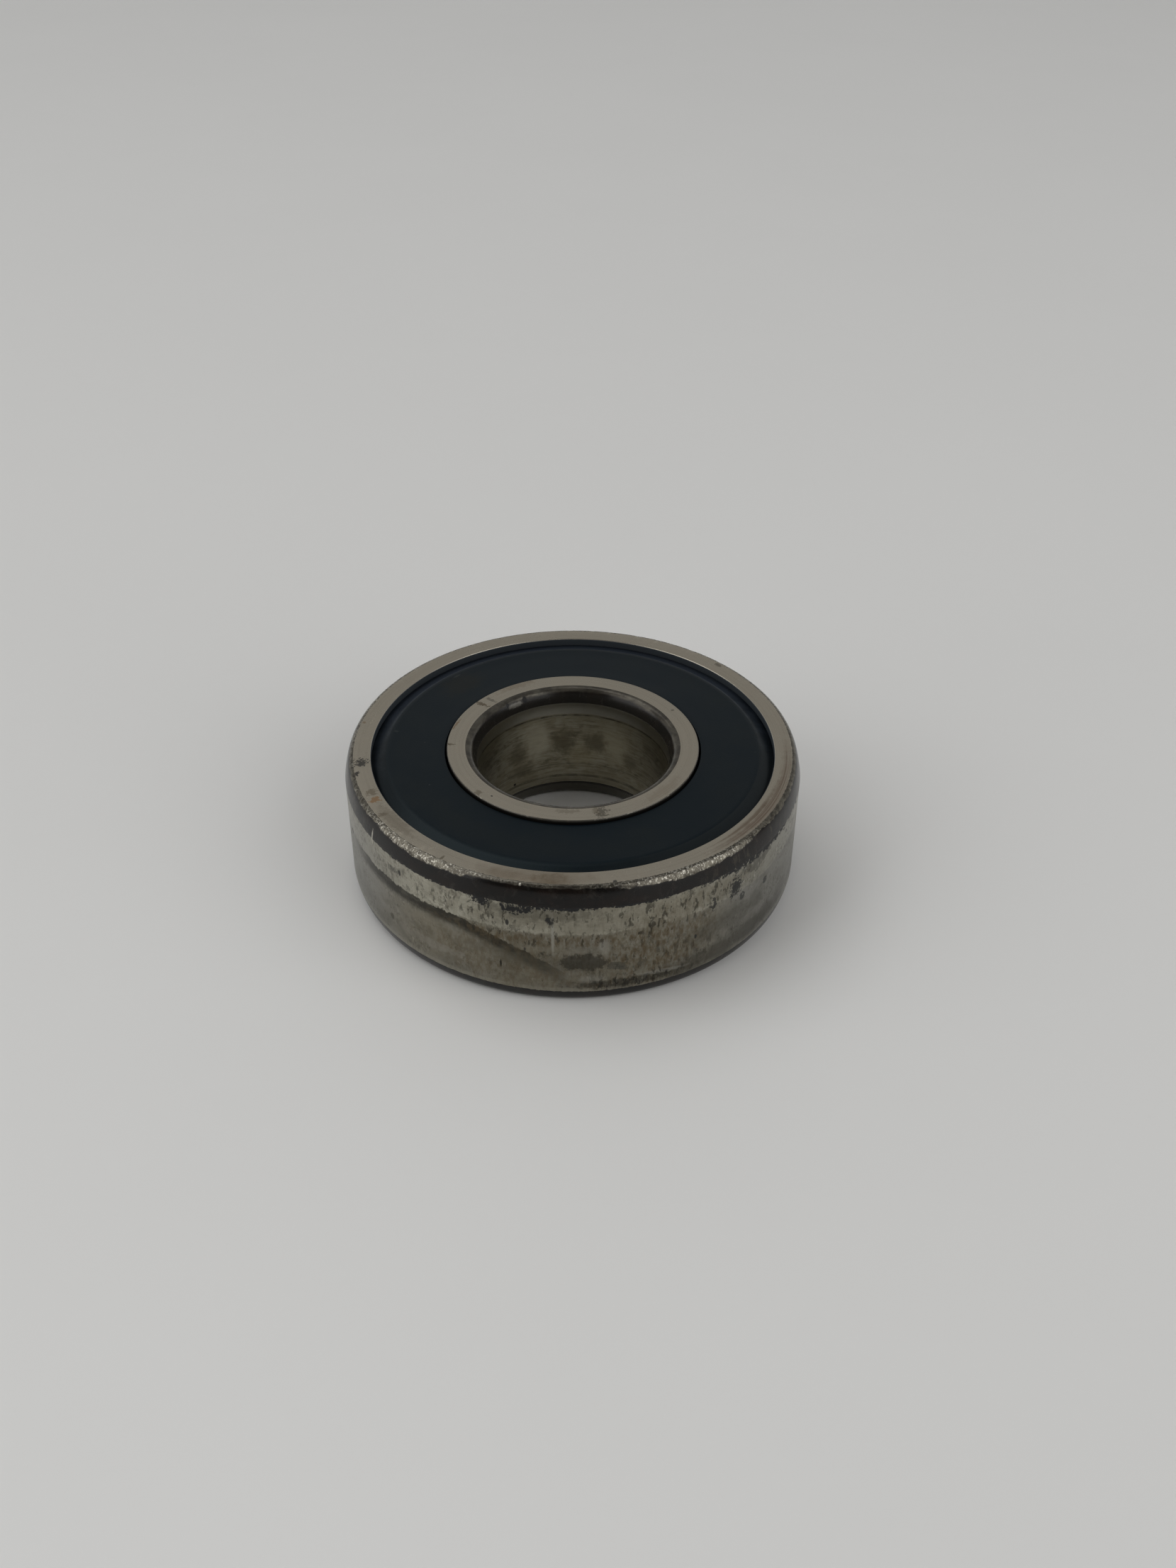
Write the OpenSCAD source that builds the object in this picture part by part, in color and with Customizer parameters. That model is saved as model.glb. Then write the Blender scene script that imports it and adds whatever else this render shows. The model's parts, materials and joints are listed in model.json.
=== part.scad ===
// Single-row angular contact ball bearing with a rubber seal on each side.
// Millimetres. The bearing axis is +Z and the bearing lies on Z = 0, so the origin is
// the middle of its lower face. The upper face is the back face of the outer ring.

/* [Boundary] */
// Diameter of the shaft bore
bore_d = 20; // [19:0.5:21]
// Outside diameter of the outer ring
outside_d = 47; // [46:0.5:52]
// Width of both rings
width = 14; // [13:0.5:16]

/* [Rolling elements] */
// Diameter of the circle through the ball centres
pitch_d = 33.5; // [33.3:0.1:33.7]
// Diameter of a ball, 5/16 inch
ball_d = 7.938; // [7.5:0.001:8]
// Number of balls
ball_count = 10; // [7:1:10]
// Angle between the line through both contacts and the radial plane
contact_angle = 40; // [15:1:45]
// Radius of each raceway groove as a share of the ball diameter
osculation = 0.52; // [0.515:0.005:0.53]
// Running clearance between a ball and each raceway
race_clearance = 0.03; // [0.02:0.01:0.05]

/* [Cage] */
// Thickness of the pressed steel strip
strip_t = 0.5; // [0.4:0.05:0.5]
// Radial width of the strip
strip_w = 2.9; // [2.4:0.1:3]
// Clearance between a ball and its pocket
pocket_clearance = 0.06; // [0.04:0.01:0.08]
// Diameter of a rivet's shank
rivet_d = 0.8; // [0.6:0.1:0.8]

/* [Seals] */
// Depth of a seal's flat face below the ring faces
seal_recess = 0.35; // [0.25:0.05:0.4]
// Outer radius of a seal's flat face, where its bevel starts
seal_flat_r = 19.2; // [18.5:0.1:19.5]
// Running clearance between a seal's lip and the inner ring
lip_clearance = 0.04; // [0.03:0.01:0.08]
// Thickness of the steel insert
insert_t = 0.4; // [0.3:0.05:0.4]

/* [Hidden] */
$fn = 96;
slack = 1; // how far a cutting shape runs past the surface that it cuts

bore_r = bore_d / 2;
outer_r = outside_d / 2;
pitch_r = pitch_d / 2;
ball_r = ball_d / 2;
mid_z = width / 2;

// Corners of the rings, each as [radial size, axial size]. A corner is an arc that leads
// into a shallow taper, and each ring's front and back corners differ in length.
outer_back_corner = [1.0, 2.1];
outer_front_corner = [1.0, 1.4];
bore_upper_corner = [1.13, 1.6];
bore_lower_corner = [1.1, 1.9];
corner_taper = 10;

// Outer ring, inside: a rim at each face, a groove that holds the seal, the ledge that
// the seal rests on, then a high shoulder above the balls and a counterbore below them.
rim_r = 20.75;
rim_t = 0.8;
rim_edge = 0.08;
seal_groove_r = 21.35;
ledge_depth = 1.85;
outer_shoulder_r = pitch_r + 1.95;
snap_height = 0.15; // the balls snap over this when the ring goes on

// Inner ring, outside: the lands that the seals run on, and the high shoulder below the balls
land_r = 13;
land_edge = 0.18;
inner_shoulder_r = pitch_r - 1.85;
inner_step_z = 2.1;

// Raceway grooves. Their centres lie on the contact line, either side of the ball's centre.
race_r = osculation * ball_d;
race_offset = (race_r - ball_r - race_clearance) * [cos(contact_angle), sin(contact_angle)];
outer_race_c = [pitch_r, mid_z] - race_offset;
inner_race_c = [pitch_r, mid_z] + race_offset;
counterbore_r = outer_race_c.x + race_r - snap_height;

// Cage
pocket_r = ball_r + pocket_clearance;
ball_pitch = 360 / ball_count;
rivet_r = rivet_d / 2;
rivet_head_r = 0.65;
rivet_head_h = 0.4;

// Steel insert of a seal: a flat washer with its rim turned inwards
insert_depth = 0.95;
insert_inner_r = 14.4;
insert_outer_r = 20.2;
insert_rim_h = 0.65;
insert_back = insert_depth + insert_t;

// Outline of a seal's rubber, each point as [radius, depth below the ring face]
lip_r = land_r + lip_clearance;
skin_inner_r = 13.2;
skin_edge = 0.06;
rubber_outline = [
    // the flat face and its bevel
    [skin_inner_r + skin_edge, seal_recess],
    [seal_flat_r, seal_recess],
    [20.55, 0.85],
    // the bead in the outer ring's groove, and its foot on the ledge
    [20.95, 0.88],
    [21.33, 1.05],
    [21.33, 1.6],
    [21.1, ledge_depth],
    [19.5, ledge_depth],
    [19.3, 1.65],
    [19.3, insert_back],
    // the fold over the insert's inner edge
    [15.3, insert_back],
    [15.1, insert_back + 0.2],
    [14.5, insert_back + 0.2],
    // the thin waist, and the lip on the inner ring's land
    [14.15, insert_back - 0.15],
    [13.8, insert_back + 0.1],
    [13.3, insert_back + 0.1],
    [lip_r, insert_back - 0.2],
    [lip_r, insert_back - 0.32],
    [skin_inner_r, 0.75],
    [skin_inner_r, seal_recess + skin_edge]
];

function label(stem, i) = str(stem, "_", i < 10 ? "0" : "", i);

// What a corner loses, with the sharp corner at the origin and the metal left of and below it.
module corner_waste(size) {
    taper = [cos(corner_taper), sin(corner_taper)];
    arc_r = (size.x * taper.x - size.y * taper.y) / (1 - taper.y);
    arc_c = [-size.x, -arc_r];
    difference() {
        polygon([
            arc_c,
            arc_c + arc_r * taper,
            [0, -size.y],
            [slack, -size.y],
            [slack, slack],
            [-size.x, slack]
        ]);
        translate(arc_c) circle(r = arc_r);
    }
}

// The same at a point of a ring's profile. inside is 1 where the metal lies outward of the
// point, and under is 1 where it lies above the point.
module corner_at(point, size, inside = 0, under = 0) {
    translate(point) mirror([inside, 0]) mirror([0, under]) corner_waste(size);
}

module outer_ring() {
    color([0.62, 0.60, 0.57])
    rotate_extrude() difference() {
        polygon([
            [outer_r, 0],
            [outer_r, width],
            [rim_r + rim_edge, width],
            [rim_r, width - rim_edge],
            [rim_r, width - rim_t],
            [seal_groove_r, width - rim_t],
            [seal_groove_r, width - ledge_depth],
            [outer_shoulder_r, width - ledge_depth],
            [outer_shoulder_r, mid_z],
            [counterbore_r, mid_z],
            [counterbore_r, ledge_depth],
            [seal_groove_r, ledge_depth],
            [seal_groove_r, rim_t],
            [rim_r, rim_t],
            [rim_r, rim_edge],
            [rim_r + rim_edge, 0]
        ]);
        translate(outer_race_c) circle(r = race_r);
        corner_at([outer_r, width], outer_back_corner);
        corner_at([outer_r, 0], outer_front_corner, under = 1);
    }
}

module inner_ring() {
    color([0.62, 0.60, 0.57])
    rotate_extrude() difference() {
        polygon([
            [bore_r, 0],
            [land_r - land_edge, 0],
            [land_r, land_edge],
            [land_r, inner_step_z],
            [inner_shoulder_r, inner_step_z],
            [inner_shoulder_r, mid_z],
            [land_r, mid_z],
            [land_r, width - land_edge],
            [land_r - land_edge, width],
            [bore_r, width]
        ]);
        translate(inner_race_c) circle(r = race_r);
        corner_at([bore_r, width], bore_upper_corner, inside = 1);
        corner_at([bore_r, 0], bore_lower_corner, inside = 1, under = 1);
    }
}

// Puts its child at ball i, counting from 1, or turned on from there about the bearing axis.
module at_ball(i, turn = 0, z = mid_z) {
    rotate([0, 0, (i - 1) * ball_pitch + turn]) translate([pitch_r, 0, z]) children();
}

module ball(i) {
    color([0.78, 0.78, 0.80])
    at_ball(i) sphere(r = ball_r);
}

// The band that the cage is cut from, standing h high on z = 0.
module strip(h) {
    difference() {
        cylinder(r = pitch_r + strip_w / 2, h = h);
        translate([0, 0, -slack]) cylinder(r = pitch_r - strip_w / 2, h = h + 2 * slack);
    }
}

// A sphere for every ball, centred on z = 0, with its poles lying across the strip.
module pocket_spheres(r) {
    for (i = [1:ball_count]) at_ball(i, z = 0) rotate([0, 90, 0]) sphere(r = r);
}

// One pressed half of the ribbon cage, with its flats on z = 0 and its pockets above.
module cage_half() {
    shell_r = pocket_r + strip_t;
    color([0.70, 0.69, 0.66])
    difference() {
        intersection() {
            strip(shell_r + slack);
            union() {
                cylinder(r = pitch_r + strip_w, h = strip_t);
                pocket_spheres(shell_r);
            }
        }
        pocket_spheres(pocket_r);
        for (i = [1:ball_count]) {
            at_ball(i, ball_pitch / 2, 0) cylinder(r = rivet_r, h = 2 * (strip_t + slack), center = true);
        }
    }
}

module upper_cage_half() {
    translate([0, 0, mid_z]) cage_half();
}

module lower_cage_half() {
    translate([0, 0, mid_z]) mirror([0, 0, 1]) cage_half();
}

// A low domed head with its flat side on z = 0.
module rivet_head() {
    dome_r = (pow(rivet_head_r, 2) + pow(rivet_head_h, 2)) / (2 * rivet_head_h);
    intersection() {
        translate([0, 0, rivet_head_h - dome_r]) sphere(r = dome_r);
        cylinder(r = rivet_head_r + slack, h = rivet_head_h + slack);
    }
}

module cage_rivet(i) {
    color([0.74, 0.73, 0.71])
    at_ball(i, ball_pitch / 2) {
        cylinder(r = rivet_r, h = 2 * strip_t, center = true);
        for (side = [0, 1]) mirror([0, 0, side]) translate([0, 0, strip_t]) rivet_head();
    }
}

module insert_section() {
    step_r = insert_outer_r - insert_t;
    polygon([
        [insert_inner_r, width - insert_depth],
        [insert_outer_r, width - insert_depth],
        [insert_outer_r, width - insert_depth - insert_rim_h],
        [step_r, width - insert_depth - insert_rim_h],
        [step_r, width - insert_back],
        [insert_inner_r, width - insert_back]
    ]);
}

module seal_rubber() {
    color([0.10, 0.11, 0.12])
    rotate_extrude() difference() {
        polygon([for (point = rubber_outline) [point.x, width - point.y]]);
        insert_section();
    }
}

module seal_insert() {
    color([0.50, 0.50, 0.48])
    rotate_extrude() insert_section();
}

// The lower seal is the upper one turned over.
module turned_over() {
    translate([0, 0, width]) mirror([0, 0, 1]) children();
}

outer_ring();
inner_ring();
for (i = [1:ball_count]) ball(i);
upper_cage_half();
lower_cage_half();
for (i = [1:ball_count]) cage_rivet(i);
seal_rubber();  // upper_seal_rubber
seal_insert();  // upper_seal_insert
turned_over() seal_rubber();  // lower_seal_rubber
turned_over() seal_insert();  // lower_seal_insert
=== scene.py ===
"""Looks of a sealed single-row angular contact ball bearing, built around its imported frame.

Sizes in the bearing's classes are millimetres, as on a bearing drawing, and its axis is +Z.
Azimuths are degrees about that axis, counted from +X towards +Y.
"""

import json
import logging
import math
from collections.abc import Callable
from dataclasses import dataclass, field
from enum import Enum

import bpy
from mathutils import Matrix, Vector, noise


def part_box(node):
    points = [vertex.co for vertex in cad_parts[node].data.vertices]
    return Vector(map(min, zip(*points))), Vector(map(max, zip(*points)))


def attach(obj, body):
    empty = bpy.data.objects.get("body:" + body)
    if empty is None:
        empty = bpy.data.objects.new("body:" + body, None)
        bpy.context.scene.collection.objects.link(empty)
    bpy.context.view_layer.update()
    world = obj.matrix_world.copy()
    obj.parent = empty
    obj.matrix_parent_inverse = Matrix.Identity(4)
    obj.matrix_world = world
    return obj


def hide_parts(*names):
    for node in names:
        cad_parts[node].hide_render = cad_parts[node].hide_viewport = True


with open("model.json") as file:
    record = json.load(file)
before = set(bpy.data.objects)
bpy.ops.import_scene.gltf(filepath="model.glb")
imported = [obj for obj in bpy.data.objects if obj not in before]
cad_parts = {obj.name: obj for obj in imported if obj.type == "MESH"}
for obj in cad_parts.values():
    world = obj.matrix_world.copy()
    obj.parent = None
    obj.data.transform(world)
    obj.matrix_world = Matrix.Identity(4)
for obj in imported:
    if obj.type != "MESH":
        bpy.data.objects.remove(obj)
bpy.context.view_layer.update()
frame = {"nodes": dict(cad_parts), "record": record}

LOG = logging.getLogger("bearing")
MM = 0.001
FULL_TURN = 360.0
SMOOTH_ALL_OVER = 180.0

Point = tuple[float, float]
Colour = tuple[float, float, float]


# ------------------------------------------------------------------------------ node trees


@dataclass(frozen=True)
class Signal:
    """A value in a node tree, so that a shader's sums read as sums."""

    graph: "Graph"
    socket: bpy.types.NodeSocket

    def __add__(self, other: "Signal | float") -> "Signal":
        """This plus the other."""
        return self.graph.maths("ADD", self, other)

    def __radd__(self, other: float) -> "Signal":
        """The other plus this."""
        return self.graph.maths("ADD", other, self)

    def __sub__(self, other: "Signal | float") -> "Signal":
        """This less the other."""
        return self.graph.maths("SUBTRACT", self, other)

    def __rsub__(self, other: float) -> "Signal":
        """The other less this."""
        return self.graph.maths("SUBTRACT", other, self)

    def __mul__(self, other: "Signal | float") -> "Signal":
        """This times the other."""
        return self.graph.maths("MULTIPLY", self, other)

    def __rmul__(self, other: float) -> "Signal":
        """The other times this."""
        return self.graph.maths("MULTIPLY", other, self)

    def __truediv__(self, other: "Signal | float") -> "Signal":
        """This over the other."""
        return self.graph.maths("DIVIDE", self, other)


class Graph:
    """A node tree, with a short call for each kind of node that the finishes use."""

    def __init__(self, tree: bpy.types.NodeTree) -> None:
        """Wraps the tree, which is left as it is."""
        self.tree = tree

    def node(self, kind: str, **settings: object) -> bpy.types.Node:
        """Adds a node.

        Args:
            kind: The node's type name.
            **settings: Values for the node's own properties.

        Returns:
            The new node.
        """
        made = self.tree.nodes.new(kind)
        for name, value in settings.items():
            setattr(made, name, value)
        return made

    def feed(self, socket: bpy.types.NodeSocket, value: "Signal | float | Colour | Vector") -> None:
        """Links a signal to the socket, or sets the socket to a plain value.

        Args:
            socket: The socket to feed.
            value: The signal or the plain value.
        """
        if isinstance(value, Signal):
            self.tree.links.new(value.socket, socket)
        elif isinstance(value, tuple) and socket.type == "RGBA":
            socket.default_value = (*value, 1.0)
        else:
            socket.default_value = value

    def maths(self, operation: str, *values: "Signal | float") -> Signal:
        """One Math node over one to three values.

        Args:
            operation: The node's operation.
            *values: Its inputs in order.

        Returns:
            The result.
        """
        made = self.node("ShaderNodeMath", operation=operation)
        for socket, value in zip(made.inputs, values, strict=False):
            self.feed(socket, value)
        return Signal(self, made.outputs[0])

    def ramp(self, value: Signal, low: "Signal | float", high: "Signal | float") -> Signal:
        """A smooth step from 0 at low to 1 at high, or the other way where low is the larger.

        Args:
            value: The value that is cut.
            low: Where the step is 0.
            high: Where it is 1.

        Returns:
            The step, from 0 to 1.
        """
        made = self.node("ShaderNodeMapRange", interpolation_type="SMOOTHSTEP")
        for name, given in (("Value", value), ("From Min", low), ("From Max", high)):
            self.feed(made.inputs[name], given)
        return Signal(self, made.outputs["Result"])

    def span(self, value: Signal, low: float, high: float, soft: float) -> Signal:
        """1 from low to high, falling to 0 over the soft width on each side."""
        return self.ramp(value, low - soft, low + soft) * self.ramp(value, high + soft, high - soft)

    def either(self, *masks: Signal) -> Signal:
        """The largest of the masks at each place.

        Args:
            *masks: The masks.

        Returns:
            The largest.
        """
        most = masks[0]
        for mask in masks[1:]:
            most = self.maths("MAXIMUM", most, mask)
        return most

    def mix(self, mask: "Signal | float", below: "Signal | Colour", above: "Signal | Colour") -> Signal:
        """The colour below where the mask is 0, and the one above where it is 1.

        Args:
            mask: How much of the upper colour shows.
            below: The colour underneath.
            above: The colour on top.

        Returns:
            The mixed colour.
        """
        made = self.node("ShaderNodeMix", data_type="RGBA")
        colours = [socket for socket in made.inputs if socket.type == "RGBA"]
        self.feed(made.inputs["Factor"], mask)
        self.feed(colours[0], below)
        self.feed(colours[1], above)
        return Signal(self, next(socket for socket in made.outputs if socket.type == "RGBA"))

    def blend(self, mask: Signal, below: "Signal | float", above: "Signal | float") -> Signal:
        """The value below where the mask is 0, and the one above where it is 1.

        Args:
            mask: How much of the upper value shows.
            below: The value underneath.
            above: The value on top.

        Returns:
            The blended value.
        """
        made = self.node("ShaderNodeMix", data_type="FLOAT")
        self.feed(made.inputs["Factor"], mask)
        self.feed(made.inputs["A"], below)
        self.feed(made.inputs["B"], above)
        return Signal(self, made.outputs["Result"])

    def place(self) -> tuple[Signal, Signal, Signal]:
        """The piece's own X, Y and Z in millimetres.

        Returns:
            The three coordinates.
        """
        where = self.node("ShaderNodeTexCoord")
        split = self.node("ShaderNodeSeparateXYZ")
        self.tree.links.new(where.outputs["Object"], split.inputs[0])
        x, y, z = (Signal(self, out) / MM for out in split.outputs)
        return x, y, z

    def vector(self, x: "Signal | float", y: "Signal | float", z: "Signal | float") -> Signal:
        """A vector from three values.

        Args:
            x: Its X.
            y: Its Y.
            z: Its Z.

        Returns:
            The vector.
        """
        made = self.node("ShaderNodeCombineXYZ")
        for socket, value in zip(made.inputs, (x, y, z), strict=True):
            self.feed(socket, value)
        return Signal(self, made.outputs[0])

    def noise(self, where: Signal, detail: float = 4.0, roughness: float = 0.55, warp: float = 0.0) -> Signal:
        """Noise from 0 to 1 with features about one unit across.

        Args:
            where: The place that the noise is read at.
            detail: How many finer layers it has.
            roughness: How strong the finer layers are.
            warp: How far it is bent.

        Returns:
            The noise.
        """
        made = self.node("ShaderNodeTexNoise")
        self.feed(made.inputs["Vector"], where)
        settings = {"Scale": 1.0, "Detail": detail, "Roughness": roughness, "Distortion": warp}
        for name, value in settings.items():
            made.inputs[name].default_value = value
        return Signal(self, made.outputs[0])


class Effect:
    """A surface effect that several finishes share, held as one node group and built once."""

    title = ""
    inlets: dict[str, float] = {}
    outlets: tuple[str, ...] = ()

    def draw(self, graph: Graph, given: dict[str, Signal]) -> tuple[Signal, ...]:
        """Draws the group's nodes.

        Args:
            graph: The group's own node tree.
            given: The group's inputs by name.

        Returns:
            The group's outputs in order.
        """
        raise NotImplementedError

    def tree(self) -> bpy.types.NodeTree:
        """The effect's node group, made the first time that it is asked for.

        Returns:
            The group.
        """
        found = bpy.data.node_groups.get(self.title)
        if found:
            return found
        made = bpy.data.node_groups.new(self.title, "ShaderNodeTree")
        for name, value in self.inlets.items():
            inlet = made.interface.new_socket(name, in_out="INPUT", socket_type="NodeSocketFloat")
            inlet.default_value = value
        for name in self.outlets:
            made.interface.new_socket(name, in_out="OUTPUT", socket_type="NodeSocketFloat")
        graph = Graph(made)
        source = graph.node("NodeGroupInput")
        sink = graph.node("NodeGroupOutput")
        given = {name: Signal(graph, source.outputs[name]) for name in self.inlets}
        for name, signal in zip(self.outlets, self.draw(graph, given), strict=True):
            graph.feed(sink.inputs[name], signal)
        return made

    def put(self, graph: Graph, **values: "Signal | float") -> list[Signal]:
        """Places the group in a material.

        Args:
            graph: The material's node tree.
            **values: Values for the group's inputs, with _ for each space.

        Returns:
            The group's outputs in order.
        """
        made = graph.node("ShaderNodeGroup", node_tree=self.tree())
        for name, value in values.items():
            graph.feed(made.inputs[name.replace("_", " ")], value)
        return [Signal(graph, out) for out in made.outputs]

    def mask(self, graph: Graph, **values: "Signal | float") -> Signal:
        """The group's first output, where the group is placed as put() places it."""
        return self.put(graph, **values)[0]


class TurnedPlace(Effect):
    """Where a point is on a turned piece: radius and height in millimetres, azimuth in degrees."""

    title = "Turned place"
    outlets = ("Radius", "Height", "Azimuth")

    def draw(self, graph: Graph, given: dict[str, Signal]) -> tuple[Signal, ...]:
        """Reads the three values from the piece's own coordinates.

        Args:
            graph: The group's own node tree.
            given: The group's inputs by name; not used, as this group has none.

        Returns:
            Radius, height and azimuth.
        """
        x, y, z = graph.place()
        radius = graph.maths("SQRT", x * x + y * y)
        turned = graph.maths("DEGREES", graph.maths("ARCTAN2", y, x))
        return radius, z, graph.maths("FLOORED_MODULO", turned, FULL_TURN)


class TurningMarks(Effect):
    """Fine lines that run round the axis, as a grinding wheel leaves them."""

    title = "Turning marks"
    inlets = {"Lines per mm": 8.0, "Drift": 0.04}
    outlets = ("Lines",)

    def draw(self, graph: Graph, given: dict[str, Signal]) -> tuple[Signal, ...]:
        """Noise squeezed across the marks and stretched along them.

        Args:
            graph: The group's own node tree.
            given: The group's inputs by name.

        Returns:
            The lines, from 0 to 1.
        """
        x, y, z = graph.place()
        across = (graph.maths("SQRT", x * x + y * y) + z) * given["Lines per mm"]
        return (graph.noise(graph.vector(x * given["Drift"], y * given["Drift"], across), 3.0, 0.7),)


class Stain(Effect):
    """Cloudy patches with torn edges, stretched round the axis or along it."""

    title = "Stain"
    inlets = {"Size mm": 2.0, "Flatness": 1.0, "Low": 0.45, "High": 0.6, "Seed": 0.0}
    outlets = ("Mask",)

    def draw(self, graph: Graph, given: dict[str, Signal]) -> tuple[Signal, ...]:
        """Noise cut between two levels. A flatness over 1 stretches it round the axis.

        Args:
            graph: The group's own node tree.
            given: The group's inputs by name.

        Returns:
            The mask.
        """
        x, y, z = graph.place()
        size = given["Size mm"]
        where = graph.vector(x / size + given["Seed"], y / size, z / size * given["Flatness"])
        return (graph.ramp(graph.noise(where, 7.0, 0.62, 0.3), given["Low"], given["High"]),)


class Patch(Effect):
    """One mark at a given azimuth, as an oval with torn edges."""

    title = "Patch"
    inlets = {
        "Azimuth": 0.0, "Across": 0.0, "At azimuth": 0.0, "At": 0.0,
        "Spread": 10.0, "Reach": 1.0, "Slope": 0.0, "Tear": 0.6, "Grain mm": 0.8, "Soft": 0.3,
    }
    outlets = ("Mask",)

    def draw(self, graph: Graph, given: dict[str, Signal]) -> tuple[Signal, ...]:
        """Distance from the mark's middle, roughened by noise and cut to a mask.

        Args:
            graph: The group's own node tree.
            given: The group's inputs by name.

        Returns:
            The mask.
        """
        half = FULL_TURN / 2
        turned = given["Azimuth"] - given["At azimuth"] + half
        along = graph.maths("FLOORED_MODULO", turned, FULL_TURN) - half
        across = given["Across"] - given["At"] - along * given["Slope"]
        far = along / given["Spread"]
        off = across / given["Reach"]
        x, y, z = graph.place()
        grain = given["Grain mm"]
        torn = graph.noise(graph.vector(x / grain, y / grain, z / grain), 6.0, 0.68) - 0.5
        distance = graph.maths("SQRT", far * far + off * off) + torn * given["Tear"] * 3.0
        soft = given["Soft"]
        return (graph.ramp(distance, 1.0 + soft, 1.0 - soft),)


class Specks(Effect):
    """Small separate pits or grains of residue."""

    title = "Specks"
    inlets = {"Spacing mm": 0.8, "Share": 0.2, "Size": 0.3, "Seed": 0.0, "Flatness": 1.0}
    outlets = ("Mask",)

    def draw(self, graph: Graph, given: dict[str, Signal]) -> tuple[Signal, ...]:
        """A round spot in a share of the cells of a Voronoi pattern.

        Args:
            graph: The group's own node tree.
            given: The group's inputs by name.

        Returns:
            The mask.
        """
        x, y, z = graph.place()
        gap = given["Spacing mm"]
        cells = graph.node("ShaderNodeTexVoronoi")
        where = graph.vector(x / gap + given["Seed"], y / gap, z / gap * given["Flatness"])
        graph.feed(cells.inputs["Vector"], where)
        cells.inputs["Scale"].default_value = 1.0
        split = graph.node("ShaderNodeSeparateColor")
        graph.tree.links.new(cells.outputs["Color"], split.inputs[0])
        chosen, sized = Signal(graph, split.outputs[0]), Signal(graph, split.outputs[1])
        size = given["Size"] * (0.45 + sized * 0.8)
        spot = graph.ramp(Signal(graph, cells.outputs["Distance"]), size, size * 0.6)
        return (spot * graph.ramp(chosen, given["Share"], given["Share"] - 0.02),)


PLACE = TurnedPlace()
MARKS = TurningMarks()
STAIN = Stain()
PATCH = Patch()
SPECKS = Specks()


# -------------------------------------------------------------------------------- finishes


@dataclass
class Coat:
    """A surface as it is built up: colour, roughness, metal and relief, each laid over the last."""

    graph: Graph
    colour: "Signal | Colour"
    roughness: "Signal | float"
    metal: "Signal | float" = 1.0
    relief: "Signal | float" = 0.0

    def lay(
        self, mask: Signal, colour: "Signal | Colour | None" = None,
        roughness: "Signal | float | None" = None, metal: "float | None" = None, rise: float = 0.0,
    ) -> None:
        """Lays a mark over the surface.

        Args:
            mask: Where the mark is, from 0 to 1.
            colour: The mark's colour, or None to leave the colour.
            roughness: The mark's roughness, or None to leave it.
            metal: 1 for bare metal and 0 for dirt or scale, or None to leave it.
            rise: How far the mark stands up, as a share of the bump's distance.
        """
        if colour is not None:
            self.colour = self.graph.mix(mask, self.colour, colour)
        if roughness is not None:
            self.roughness = self.graph.blend(mask, self.roughness, roughness)
        if metal is not None:
            self.metal = self.graph.blend(mask, self.metal, metal)
        if rise:
            self.relief = mask * rise + self.relief


@dataclass(frozen=True)
class Finish:
    """What every finish has: a name, the depth of its relief and a way to paint itself."""

    name: str
    relief_mm: float = 0.02

    def paint(self, graph: Graph) -> Coat:
        """Builds the surface's patterns.

        Args:
            graph: The material's node tree.

        Returns:
            The finished coat.
        """
        raise NotImplementedError

    def settle(self, shader: bpy.types.Node) -> None:
        """Sets the plain values on the shader that only this finish needs."""

    def material(self) -> bpy.types.Material:
        """The finish as a material, made the first time that it is asked for.

        Returns:
            The material.
        """
        found = bpy.data.materials.get(self.name)
        if found:
            return found
        made = bpy.data.materials.new(self.name)
        made.use_nodes = True
        graph = Graph(made.node_tree)
        shader = made.node_tree.nodes["Principled BSDF"]
        coat = self.paint(graph)
        graph.feed(shader.inputs["Metallic"], coat.metal)
        graph.feed(shader.inputs["Base Color"], coat.colour)
        graph.feed(shader.inputs["Roughness"], coat.roughness)
        if isinstance(coat.relief, Signal):
            bump = graph.node("ShaderNodeBump")
            bump.inputs["Distance"].default_value = self.relief_mm * MM
            graph.feed(bump.inputs["Height"], coat.relief)
            graph.feed(shader.inputs["Normal"], Signal(graph, bump.outputs[0]))
        self.settle(shader)
        return made


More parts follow.
